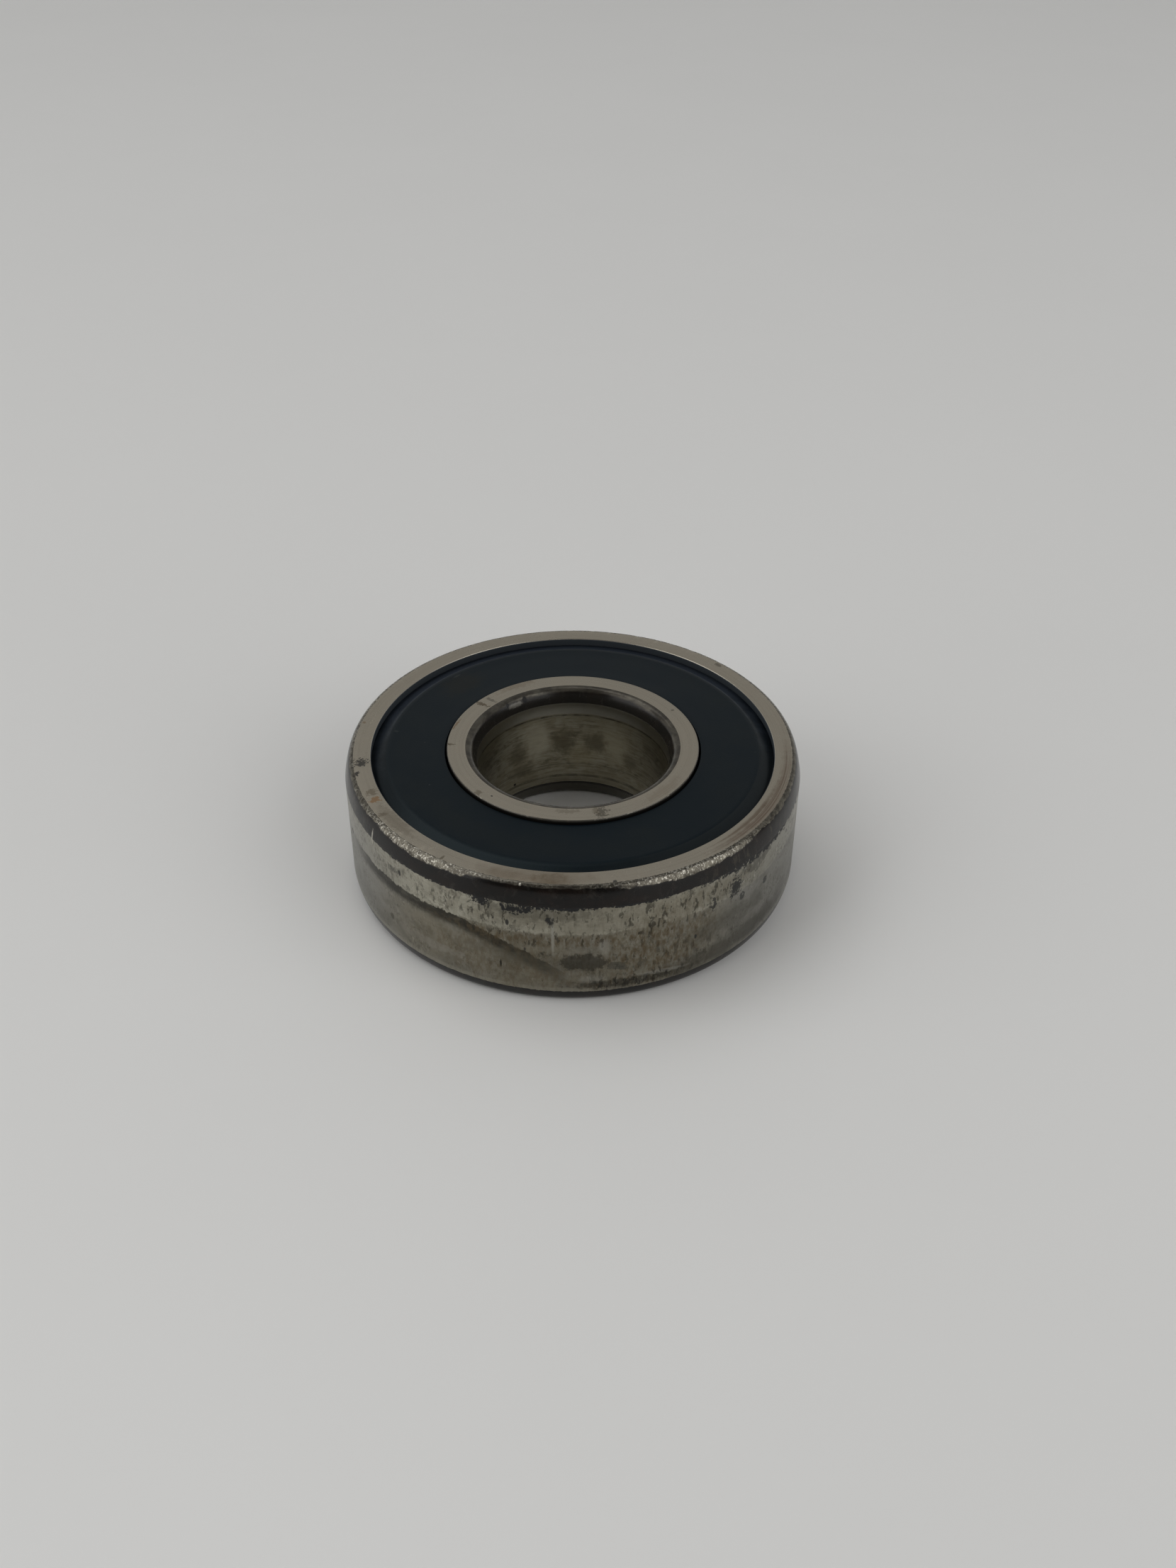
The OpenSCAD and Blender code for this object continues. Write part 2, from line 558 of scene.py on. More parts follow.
@dataclass(frozen=True)
class SteelTints:
    """The colours of hardened bearing steel, bright and dirty, and of the painted shade laid on it."""

    face: Colour = (0.475, 0.435, 0.350)
    face_dull: Colour = (0.40, 0.355, 0.285)
    face_line: Colour = (0.30, 0.262, 0.205)
    face_grime: Colour = (0.24, 0.205, 0.155)
    seat: Colour = (0.415, 0.398, 0.330)
    seat_dull: Colour = (0.200, 0.182, 0.138)
    seat_grey: Colour = (0.235, 0.230, 0.210)
    seat_dark: Colour = (0.075, 0.073, 0.062)
    seat_pale: Colour = (0.34, 0.33, 0.29)
    glint: Colour = (0.58, 0.56, 0.49)
    smudge: Colour = (0.105, 0.098, 0.076)
    smear: Colour = (0.072, 0.067, 0.052)
    soot: Colour = (0.036, 0.033, 0.026)
    mottle: Colour = (0.120, 0.092, 0.056)
    scale: Colour = (0.0050, 0.0044, 0.0038)
    scale_brown: Colour = (0.0120, 0.0078, 0.0058)
    scale_thin: Colour = (0.060, 0.056, 0.048)
    worn: Colour = (0.180, 0.166, 0.132)
    worn_dark: Colour = (0.085, 0.077, 0.062)
    residue: Colour = (0.010, 0.010, 0.010)
    rust: Colour = (0.21, 0.115, 0.045)
    tan: Colour = (0.23, 0.165, 0.105)
    scorch: Colour = (0.185, 0.125, 0.088)
    scorch_line: Colour = (0.17, 0.120, 0.080)
    scorch_spot: Colour = (0.155, 0.112, 0.066)
    bright: Colour = (0.72, 0.69, 0.60)
    race: Colour = (0.55, 0.54, 0.52)
    oily: Colour = (0.040, 0.047, 0.053)
    bore: Colour = (0.375, 0.352, 0.275)
    bore_grey: Colour = (0.345, 0.338, 0.305)
    bore_film: Colour = (0.295, 0.268, 0.194)
    bore_dark: Colour = (0.135, 0.118, 0.080)
    bore_light: Colour = (0.44, 0.405, 0.30)
    bore_pale: Colour = (0.47, 0.44, 0.35)
    bore_straw: Colour = (0.35, 0.31, 0.21)
    bore_rim: Colour = (0.24, 0.225, 0.18)
    wear_line: Colour = (0.045, 0.040, 0.032)
    corner_painted_shade: Colour = (0.030, 0.028, 0.024)
    corner_foot: Colour = (0.12, 0.115, 0.095)
    edge_painted_shade: Colour = (0.010, 0.009, 0.008)
    edge_worn: Colour = (0.27, 0.25, 0.21)


@dataclass(frozen=True)
class Torn:
    """How ragged a mark's edge is: how far it tears, in what grain, and how softly it ends."""

    tear: float = 0.4
    grain_mm: float = 0.8
    soft: float = 0.3


@dataclass(frozen=True)
class Mark:
    """One mark on a turned piece: where it is, how far it reaches and what it looks like."""

    azimuth: float
    at: float
    spread: float
    reach: float
    colour: Colour
    strength: float = 1.0
    torn: Torn = Torn()
    slope: float = 0.0
    roughness: "float | None" = None
    metal: "float | None" = None

    def lay_on(self, coat: Coat, azimuth: Signal, across: Signal, zone: Signal) -> None:
        """Lays the mark over a coat.

        Args:
            coat: The surface that gets the mark.
            azimuth: The azimuth over the surface, in degrees.
            across: The radius or height over the surface that the mark's place is given in.
            zone: Where on the piece the mark may show.
        """
        mask = PATCH.mask(
            coat.graph, Azimuth=azimuth, Across=across, At_azimuth=self.azimuth, At=self.at,
            Spread=self.spread, Reach=self.reach, Slope=self.slope,
            Tear=self.torn.tear, Grain_mm=self.torn.grain_mm, Soft=self.torn.soft,
        )
        coat.lay(mask * zone * self.strength, self.colour, self.roughness, self.metal)


@dataclass
class TurnedCoat(Coat):
    """The coat of a turned piece, which knows the radius, height and azimuth of each point."""

    radius: Signal = field(init=False)
    height: Signal = field(init=False)
    azimuth: Signal = field(init=False)

    def __post_init__(self) -> None:
        """Reads the three from the piece's own coordinates."""
        self.radius, self.height, self.azimuth = PLACE.put(self.graph)

    def lay_marks(self, across: Signal, zone: Signal, *marks: Mark) -> None:
        """Lays marks one after another.

        Args:
            across: The radius or height over the surface that the marks' places are given in.
            zone: Where on the piece the marks may show.
            *marks: The marks, the lowest first.
        """
        for mark in marks:
            mark.lay_on(self, self.azimuth, across, zone)


@dataclass(frozen=True)
class RingFinish(Finish):
    """What both rings share: black hardening scale on the corners, and ground flat faces."""

    tints: SteelTints = field(default_factory=SteelTints)
    width: float = 14.0
    skin: float = 0.06
    film: float = 0.015
    line_relief: float = 0.14

    def settle(self, shader: bpy.types.Node) -> None:
        """Keeps the scale's gloss as low as an oxide film's."""
        shader.inputs["Specular IOR Level"].default_value = 0.28

    def flats(self, coat: TurnedCoat) -> Signal:
        """Both flat faces, faded out within the skin under each.

        Args:
            coat: The ring's surface.

        Returns:
            The mask of the two faces.
        """
        graph, top = coat.graph, self.width
        upper = graph.ramp(coat.height, top - self.skin, top - self.film)
        return graph.either(upper, graph.ramp(coat.height, self.skin, self.film))

    def scale(self, coat: Coat, zone: Signal, seed: float) -> None:
        """Lays hardening scale, black with a brown cast in places and thin in others.

        Args:
            coat: The ring's surface.
            zone: Where the scale is.
            seed: A number that sets this scale's patterns apart.
        """
        graph, tints = coat.graph, self.tints
        cast = STAIN.mask(graph, Size_mm=2.2, Flatness=1.5, Low=0.40, High=0.70, Seed=seed)
        thin = STAIN.mask(graph, Size_mm=0.9, Flatness=0.7, Low=0.52, High=0.80, Seed=seed + 3.0)
        coat.lay(zone, graph.mix(cast, tints.scale, tints.scale_brown), roughness=0.20, metal=0.02)
        coat.lay(zone * thin * 0.5, tints.scale_thin, roughness=0.30, metal=0.35)

    def ground(self, coat: Coat, zone: Signal, lines: Signal, seed: float) -> None:
        """Lays a ground face, with cloudy handling marks and fine lines.

        Args:
            coat: The ring's surface.
            zone: Where the face is.
            lines: The grinding lines over the surface.
            seed: A number that sets this face's patterns apart.
        """
        graph, tints = coat.graph, self.tints
        cloud = STAIN.mask(graph, Size_mm=2.2, Flatness=1.0, Low=0.36, High=0.68, Seed=seed)
        grime = STAIN.mask(graph, Size_mm=0.5, Flatness=1.0, Low=0.56, High=0.72, Seed=seed + 5.0)
        ground = graph.mix(cloud * 0.45, tints.face, tints.face_dull)
        ground = graph.mix(graph.ramp(lines, 0.45, 0.72) * 0.30, ground, tints.face_line)
        ground = graph.mix(grime * 0.09, ground, tints.face_grime)
        coat.lay(zone, ground, roughness=graph.blend(cloud, 0.25, 0.33), metal=1.0)


@dataclass(frozen=True)
class OuterRingFinish(RingFinish):
    """Ground faces, and a seat that has been pressed into a housing and handled since."""

    name: str = "ground_outer_ring"
    rim_r: float = 20.8
    side_r: float = 22.5
    upper_line: float = 11.9
    lower_line: float = 1.4
    band: float = 3.55
    recess: float = 1.9
    smear_from: float = 241.0
    # Azimuth and spread in degrees, and reach down from the face in millimetres, of each rubbed arc; the arcs
    # at 231.5 and 300.5 degrees are painted highlights as well as wear.
    rubbed_and_highlight_arcs: tuple[tuple[float, float, float], ...] = (
        (231.5, 15.5, 0.56), (300.5, 18.5, 0.58), (206.0, 13.0, 0.26),
        (333.0, 15.0, 0.20), (62.0, 26.0, 0.70), (148.0, 24.0, 0.70),
    )

    def paint(self, graph: Graph) -> Coat:
        """The seat and its dirt, then the corners, the faces and the inside.

        Args:
            graph: The material's node tree.

        Returns:
            The finished coat.
        """
        tints = self.tints
        coat = TurnedCoat(graph, tints.seat, 0.27)
        lines = MARKS.mask(graph, Lines_per_mm=9.0, Drift=0.05)
        self.worn_seat(coat, lines)
        self.seat_dirt(coat)
        self.dark_corners(coat)
        self.ground_faces(coat, lines)
        inside = graph.ramp(coat.radius, self.rim_r + 0.01, self.rim_r - 0.03)
        upper_end = graph.ramp(coat.height, self.width - self.recess, self.width - self.recess + 0.1)
        ends = graph.either(upper_end, graph.ramp(coat.height, self.recess, self.recess - 0.1))
        coat.lay(inside, tints.race, roughness=0.12, metal=1.0)
        coat.lay(inside * ends, tints.oily, roughness=0.36, metal=0.0)
        coat.relief = coat.relief + lines * self.line_relief
        return coat

    def worn_seat(self, coat: TurnedCoat, lines: Signal) -> None:
        """Lays the wear: a brighter band near the upper corner, a dull film below it, and a smear.

        Args:
            coat: The ring's surface.
            lines: The grinding lines over the surface.
        """
        graph = coat.graph
        wander = STAIN.mask(graph, Size_mm=1.8, Flatness=0.3, Low=0.25, High=0.75, Seed=9.0)
        ragged = STAIN.mask(graph, Size_mm=0.35, Flatness=0.4, Low=0.3, High=0.7, Seed=13.0)
        line = self.upper_line - self.band + wander * 0.35 + ragged * 0.22
        below = graph.ramp(coat.height - line, 0.12, -0.12)
        self.dull_film(coat, lines, below)
        self.handling(coat, below)
        self.hanging_smear(coat, line, wander)

    def dull_film(self, coat: TurnedCoat, lines: Signal, below: Signal) -> None:
        """Lays the film, greyer towards the two sides and browner in front.

        Args:
            coat: The ring's surface.
            lines: The grinding lines over the surface.
            below: Where the seat lies below the bright band.
        """
        graph, tints, azimuth = coat.graph, self.tints, coat.azimuth
        lean = STAIN.mask(graph, Size_mm=5.0, Flatness=1.5, Low=0.38, High=0.62, Seed=15.0)
        grey_side = graph.either(graph.ramp(azimuth, 236.0, 206.0), graph.ramp(azimuth, 296.0, 318.0))
        film = graph.mix(graph.either(grey_side, lean * 0.4), tints.seat_dull, tints.seat_grey)
        coat.lay(graph.ramp(lines, 0.35, 0.75) * 0.22, tints.seat_dull)
        coat.lay(below * 0.88, film, roughness=0.34)
        coat.lay(grey_side * (1.0 - below) * 0.45, tints.seat_grey, roughness=0.30)

    def handling(self, coat: TurnedCoat, below: Signal) -> None:
        """Lays the dull clouds, the streaks, the fine speckle and the glints of a handled seat.

        Args:
            coat: The ring's surface.
            below: Where the seat lies below the bright band.
        """
        graph, tints = coat.graph, self.tints
        dull = STAIN.mask(graph, Size_mm=2.4, Flatness=1.3, Low=0.46, High=0.66, Seed=3.0)
        coat.lay(dull * 0.40, tints.smudge, roughness=0.38)
        axial = STAIN.mask(graph, Size_mm=0.30, Flatness=0.10, Low=0.46, High=0.66, Seed=18.0)
        front = graph.span(coat.azimuth, 214.0, 326.0, 14.0)
        coat.lay(axial * (1.0 - below * 0.8) * front * 0.32, tints.seat_dull, roughness=0.36)
        handled = STAIN.mask(graph, Size_mm=2.8, Flatness=1.2, Low=0.46, High=0.60, Seed=20.0)
        fine = STAIN.mask(graph, Size_mm=0.28, Flatness=0.7, Low=0.50, High=0.60, Seed=21.0)
        coat.lay(fine * (0.12 + handled * 0.46), tints.smudge, roughness=0.42, rise=-0.25)
        brushed = STAIN.mask(graph, Size_mm=2.6, Flatness=22.0, Low=0.44, High=0.66, Seed=23.0)
        coat.lay(brushed * 0.24, tints.seat_dull, roughness=0.33)
        glints = STAIN.mask(graph, Size_mm=0.30, Flatness=0.4, Low=0.58, High=0.66, Seed=24.0)
        coat.lay(glints * handled * (1.0 - below * 0.55) * 0.6, tints.glint, roughness=0.24)
        foot = graph.span(coat.height, self.lower_line - 0.1, self.lower_line + 0.45, 0.15)
        coat.lay(foot * 0.30, tints.seat, roughness=0.30)

    def hanging_smear(self, coat: TurnedCoat, line: Signal, wander: Signal) -> None:
        """Lays the dark smear that hangs from the bright band and falls away towards the front.

        Args:
            coat: The ring's surface.
            line: The height of the bright band's lower edge.
            wander: How the smear's own lower edge wanders, from 0 to 1.
        """
        graph, azimuth = coat.graph, coat.azimuth
        past = graph.maths("MAXIMUM", azimuth - self.smear_from, 0.0)
        fall = past * past * 0.0042 + past * 0.055
        hung = coat.height - line + fall
        run = graph.ramp(azimuth, 200.0, 216.0) * graph.ramp(azimuth, 272.0, 260.0)
        patchy = STAIN.mask(graph, Size_mm=1.5, Flatness=2.2, Low=0.28, High=0.60, Seed=28.0)
        body = graph.ramp(hung, 0.10, -0.08) * graph.ramp(hung, -1.45 - wander - fall * 0.22, -0.35)
        coat.lay(body * run * (0.55 + patchy * 0.40), self.tints.smear, roughness=0.36)
        core = graph.ramp(hung, 0.06, -0.06) * graph.ramp(hung, -1.35 - wander * 0.5 - fall * 0.14, -0.75)
        coat.lay(core * run * (0.40 + patchy * 0.50), self.tints.soot, roughness=0.36)

    def seat_dirt(self, coat: TurnedCoat) -> None:
        """Lays mottle, smudges, scuffs, pits and grains of residue on the outside diameter.

        Args:
            coat: The ring's surface.
        """
        graph, tints = coat.graph, self.tints
        seat = graph.span(coat.height, self.lower_line - 0.3, self.upper_line + 0.3, 0.1)
        speckle = STAIN.mask(graph, Size_mm=0.42, Flatness=0.45, Low=0.36, High=0.66, Seed=25.0)
        coat.lay_marks(coat.height, speckle * seat, *self.mottles())
        coat.lay_marks(coat.height, seat, *self.smudges())
        dashes = STAIN.mask(graph, Size_mm=0.50, Flatness=0.42, Low=0.535, High=0.585, Seed=37.0)
        coat.lay_marks(coat.height, dashes * seat, *self.scuffs())
        pits = SPECKS.mask(graph, Spacing_mm=1.5, Share=0.26, Size=0.13, Flatness=0.5)
        coat.lay(pits * 0.9, tints.residue, roughness=0.55, metal=0.0, rise=-0.6)
        dots = SPECKS.mask(graph, Spacing_mm=0.55, Share=0.22, Size=0.16, Seed=7.0, Flatness=0.5)
        coat.lay(dots * 0.7, tints.smudge, roughness=0.5, rise=-0.3)
        grains = STAIN.mask(graph, Size_mm=0.42, Flatness=0.6, Low=0.38, High=0.44, Seed=33.0)
        coat.lay_marks(coat.height, grains, *self.crumbs())

    def mottles(self) -> tuple[Mark, ...]:
        """Where brown mottle covers the seat.

        Returns:
            The marks, in azimuth and height.
        """
        brown = self.tints.mottle
        return (
            Mark(292, 6.2, 13.0, 3.4, brown, 0.90, Torn(0.5, 1.2, 0.4), roughness=0.46),
            Mark(266, 7.8, 26.0, 0.7, brown, 0.80, Torn(0.5, 1.0, 0.4), roughness=0.46),
            Mark(256, 4.4, 28.0, 2.8, brown, 0.55, Torn(0.6, 1.4, 0.5), roughness=0.44),
            Mark(288, 2.2, 14.0, 0.8, brown, 0.85, Torn(0.6, 0.8, 0.4), roughness=0.46),
            Mark(300, 10.2, 16.0, 1.0, brown, 0.50, Torn(0.6, 0.8, 0.4), roughness=0.44),
            Mark(25, 6.0, 34.0, 3.0, brown, 0.70, Torn(0.7, 1.4, 0.5), roughness=0.46),
            Mark(98, 4.4, 22.0, 2.0, brown, 0.60, Torn(0.7, 1.4, 0.5), slope=0.01, roughness=0.44),
            Mark(152, 8.0, 26.0, 1.6, brown, 0.70, Torn(0.7, 1.2, 0.5), slope=0.02, roughness=0.46),
        )

    def smudges(self) -> tuple[Mark, ...]:
        """The smudges and scratches on the seat, from the largest to the smallest.

        Returns:
            The marks, in azimuth and height.
        """
        tints = self.tints
        return (
            Mark(283, 10.3, 36.0, 1.9, tints.seat_dull, 0.50, Torn(0.6, 1.6, 0.4), roughness=0.32),
            Mark(262, 11.0, 13.0, 0.8, tints.smear, 0.45, Torn(1.2, 0.9, 0.4), roughness=0.42),
            Mark(262, 5.0, 16.0, 0.80, tints.smudge, 0.40, Torn(0.8, 2.0, 0.6),
                 slope=-0.05, roughness=0.40),
            Mark(274, 5.30, 6.4, 1.00, tints.soot, 0.72, Torn(1.5, 1.9, 0.24), slope=-0.07, roughness=0.36),
            Mark(281, 4.4, 3.0, 0.40, tints.seat_dark, 0.60, Torn(1.6, 0.9, 0.2),
                 slope=-0.10, roughness=0.36),
            Mark(234, 3.6, 9.0, 0.5, tints.seat_pale, 0.22, Torn(1.2, 1.2, 0.3),
                 slope=0.02, roughness=0.32),
            Mark(312, 2.6, 26.0, 1.1, tints.smear, 0.62, Torn(0.9, 1.8, 0.5), slope=0.02, roughness=0.36),
            Mark(310, 5.8, 12.0, 1.3, tints.smear, 0.45, Torn(1.1, 1.8, 0.5), slope=0.02, roughness=0.36),
            Mark(212, 3.2, 12.0, 1.2, tints.smudge, 0.25, Torn(0.6, 1.6, 0.6), roughness=0.38),
            Mark(266, 8.5, 0.35, 2.1, tints.seat_pale, 0.75, Torn(0.15, 0.5, 0.5), roughness=0.30),
            Mark(278, 7.0, 1.3, 0.8, tints.seat_pale, 0.45, Torn(0.5, 0.5, 0.5), roughness=0.34),
            Mark(275, 2.9, 3.0, 0.5, tints.seat_pale, 0.45, Torn(0.5, 0.5, 0.5), roughness=0.34),
            Mark(292, 2.6, 6.0, 0.22, tints.seat_pale, 0.55, Torn(0.5, 0.5, 0.5),
                 slope=-0.04, roughness=0.34),
            Mark(60, 8.2, 30.0, 0.7, tints.smudge, 0.60, Torn(0.4, 1.2, 0.5), slope=-0.02, roughness=0.40),
            Mark(120, 6.4, 18.0, 1.0, tints.seat_dark, 0.45, Torn(0.5, 1.2, 0.5),
                 slope=0.03, roughness=0.40),
            Mark(172, 5.4, 14.0, 1.2, tints.smudge, 0.45, Torn(0.5, 1.2, 0.5), roughness=0.40),
            Mark(14, 9.6, 0.35, 1.8, tints.seat_pale, 0.65, Torn(0.15, 0.5, 0.5), roughness=0.30),
            Mark(133, 8.6, 0.30, 2.4, tints.seat_pale, 0.60, Torn(0.15, 0.5, 0.5), roughness=0.30),
            Mark(253.6, 4.2, 0.22, 0.45, tints.residue, 0.85, Torn(0.3, 0.3, 0.4), roughness=0.55),
            Mark(221, 3.8, 0.75, 0.32, tints.smudge, 0.85, Torn(0.7, 0.3, 0.4), roughness=0.5),
        )

    def scuffs(self) -> tuple[Mark, ...]:
        """Where short dark dashes crowd the seat.

        Returns:
            The marks, in azimuth and height.
        """
        soot = self.tints.soot
        return (
            Mark(297, 10.0, 18.0, 1.9, soot, 0.70, Torn(0.8, 1.6, 0.4), roughness=0.44),
            Mark(268, 8.0, 26.0, 1.0, soot, 0.60, Torn(0.8, 1.2, 0.4), roughness=0.44),
            Mark(228, 10.2, 16.0, 1.3, soot, 0.42, Torn(0.9, 1.6, 0.5), roughness=0.44),
            Mark(258, 10.6, 18.0, 1.4, soot, 0.65, Torn(0.9, 1.4, 0.4), roughness=0.44),
            Mark(290, 4.6, 18.0, 2.6, soot, 0.45, Torn(0.9, 1.6, 0.5), roughness=0.44),
            Mark(286, 2.2, 15.0, 0.8, soot, 0.60, Torn(0.9, 1.2, 0.4), roughness=0.44),
            Mark(40, 9.4, 24.0, 1.6, soot, 0.45, Torn(1.2, 2.0, 0.5), roughness=0.44),
            Mark(140, 5.0, 20.0, 2.2, soot, 0.40, Torn(1.2, 2.0, 0.5), roughness=0.44),
        )

    def crumbs(self) -> tuple[Mark, ...]:
        """Where black residue clings to the seat, mostly just under the upper corner.

        Returns:
            The marks, in azimuth and height.
        """
        black = self.tints.residue
        return (
            Mark(249, 11.75, 2.4, 0.70, black, 1.0, Torn(1.2, 0.5, 0.12), roughness=0.5, metal=0.0),
            Mark(257.5, 11.65, 3.4, 0.85, black, 1.0, Torn(1.2, 0.5, 0.12), roughness=0.5, metal=0.0),
            Mark(268, 11.95, 9.0, 0.42, black, 1.0, Torn(1.1, 0.4, 0.12), roughness=0.5, metal=0.0),
            Mark(286, 11.95, 10.0, 0.26, black, 1.0, Torn(1.1, 0.4, 0.12), roughness=0.5, metal=0.0),
            Mark(320, 11.88, 19.0, 0.55, black, 1.0, Torn(1.0, 0.6, 0.15), roughness=0.5, metal=0.0),
            Mark(232, 11.95, 18.0, 0.20, black, 1.0, Torn(1.0, 0.5, 0.15), roughness=0.5, metal=0.0),
            Mark(312.5, 9.5, 1.9, 1.1, black, 0.95, Torn(1.5, 0.35, 0.12), roughness=0.5, metal=0.0),
            Mark(305.5, 8.8, 0.8, 0.8, black, 0.85, Torn(1.4, 0.35, 0.12), roughness=0.5, metal=0.0),
            Mark(315, 7.8, 0.9, 0.5, black, 0.80, Torn(0.6, 0.4, 0.15), roughness=0.5, metal=0.0),
            Mark(324.3, 7.4, 1.0, 0.4, black, 0.80, Torn(0.6, 0.4, 0.15), roughness=0.5, metal=0.0),
            Mark(320, 10.9, 5.0, 0.9, black, 0.45, Torn(1.4, 0.7, 0.2), roughness=0.5),
            Mark(265.3, 10.3, 1.1, 0.45, black, 0.85, Torn(0.6, 0.4, 0.15), roughness=0.5, metal=0.0),
            Mark(223, 10.3, 1.4, 0.40, black, 0.55, Torn(0.6, 0.4, 0.15), roughness=0.5, metal=0.0),
            Mark(283, 2.2, 12.0, 0.55, black, 0.50, Torn(0.8, 0.5, 0.3), roughness=0.5),
            Mark(46, 11.7, 20.0, 0.5, black, 0.90, Torn(0.7, 0.5, 0.2), roughness=0.5, metal=0.0),
            Mark(118, 11.8, 26.0, 0.4, black, 0.90, Torn(0.7, 0.5, 0.2), roughness=0.5, metal=0.0),
            Mark(82, 7.2, 3.0, 0.9, black, 0.70, Torn(0.8, 0.5, 0.2), roughness=0.5),
        )

    def dark_corners(self, coat: TurnedCoat) -> None:
        """Lays the scale on both corners, and what rubbed and chipped the upper one, with painted highlights
        among the rubbed stretches in front.

        Args:
            coat: The ring's surface.
        """
        graph, tints, height = coat.graph, self.tints, coat.height
        ragged = STAIN.mask(graph, Size_mm=0.4, Flatness=0.6, Low=0.3, High=0.7, Seed=31.0) * 0.09
        upper = graph.ramp(height + ragged, self.upper_line + 0.03, self.upper_line + 0.08)
        lower = graph.ramp(height - ragged, self.lower_line - 0.03, self.lower_line - 0.08)
        side = graph.ramp(coat.radius, self.side_r - 0.02, self.side_r + 0.03)
        self.scale(coat, graph.either(upper, lower) * side, 41.0)
        edge = STAIN.mask(graph, Size_mm=1.1, Flatness=1.2, Low=0.25, High=0.75, Seed=45.0) * 0.22
        lip = graph.ramp(height + edge * 0.6, self.width - 0.20, self.width - 0.06) * side
        # Painted highlight: the rubbed stretches in front lie where the lights are mirrored.
        rim = graph.either(self.rubbed(coat, edge) * side, lip * 0.9)
        self.bare_rim_and_highlights(coat, rim)
        coat.lay_marks(
            height, side,
            Mark(214.3, 12.1, 0.30, 0.75, tints.bright, 0.6, Torn(0.5, 0.4, 0.3),
                 slope=-0.15, roughness=0.3, metal=1.0),
        )
        coat.lay_marks(
            coat.radius, side,
            Mark(258.3, 22.86, 0.30, 0.10, tints.bright, 0.95, Torn(0.3, 0.4, 0.3),
                 roughness=0.2, metal=1.0),
        )
        streaks = STAIN.mask(graph, Size_mm=0.55, Flatness=0.12, Low=0.50, High=0.66, Seed=53.0)
        coat.lay_marks(
            height, side * streaks,
            Mark(322, 12.6, 17.0, 0.8, tints.worn_dark, 0.65, Torn(0.6, 1.0, 0.4),
                 roughness=0.30, metal=0.8),
            Mark(203, 12.7, 11.0, 0.9, tints.worn_dark, 0.65, Torn(0.6, 1.0, 0.4),
                 roughness=0.30, metal=0.8),
            Mark(90, 12.8, 30.0, 0.9, tints.worn_dark, 0.50, Torn(0.8, 1.4, 0.5),
                 roughness=0.30, metal=0.8),
        )

    def rubbed(self, coat: TurnedCoat, edge: Signal) -> Signal:
        """Where the upper corner was rubbed bright: long shallow arcs that hang from its top edge. The arcs
        at 231.5 and 300.5 degrees are painted highlights as well as wear: they sit where the lights are
        mirrored, and the dark gap between them stands for the dark reflection in front.

        Args:
            coat: The ring's surface.
            edge: How far the arcs' lower edges wander, in millimetres.

        Returns:
            The mask of the rubbed stretches, with the painted highlights among them.
        """
        stretches = [
            PATCH.mask(
                coat.graph, Azimuth=coat.azimuth, Across=coat.height + edge, At_azimuth=middle,
                At=self.width, Spread=spread, Reach=depth, Tear=0.30, Grain_mm=1.4, Soft=0.10,
            )
            for middle, spread, depth in self.rubbed_and_highlight_arcs
        ]
        return coat.graph.either(*stretches)

    def bare_rim_and_highlights(self, coat: TurnedCoat, rim: Signal) -> None:
        """Lays worn metal and bright flecks where the upper corner was rubbed, which in front is painted
        highlight as well.

        Args:
            coat: The ring's surface.
            rim: Where the corner was rubbed, with the painted highlights in front.
        """
        graph, tints = coat.graph, self.tints
        worn = STAIN.mask(graph, Size_mm=0.7, Flatness=0.7, Low=0.36, High=0.64, Seed=47.0)
        coat.lay(rim * 0.90, graph.mix(worn, tints.worn_dark, tints.worn), roughness=0.17, metal=0.9)
        flecks = STAIN.mask(graph, Size_mm=0.22, Flatness=0.6, Low=0.50, High=0.60, Seed=51.0)
        # Painted highlight: the flecks at 231 and 300 degrees crowd where the lights are mirrored.
        coat.lay_marks(
            coat.radius, rim * flecks,
            Mark(231, 22.80, 22.0, 0.50, tints.bright, 0.46, Torn(0.5, 1.0, 0.5),
                 roughness=0.26, metal=1.0),
            Mark(300, 22.80, 19.0, 0.50, tints.bright, 0.54, Torn(0.5, 1.0, 0.5),
                 roughness=0.26, metal=1.0),
            Mark(60, 22.75, 50.0, 0.60, tints.bright, 0.45, Torn(1.0, 1.6, 0.4), roughness=0.28, metal=1.0),
            Mark(150, 22.75, 36.0, 0.60, tints.bright, 0.45, Torn(1.0, 1.6, 0.4),
                 roughness=0.28, metal=1.0),
        )
        coat.relief = flecks * rim * 0.34 + coat.relief

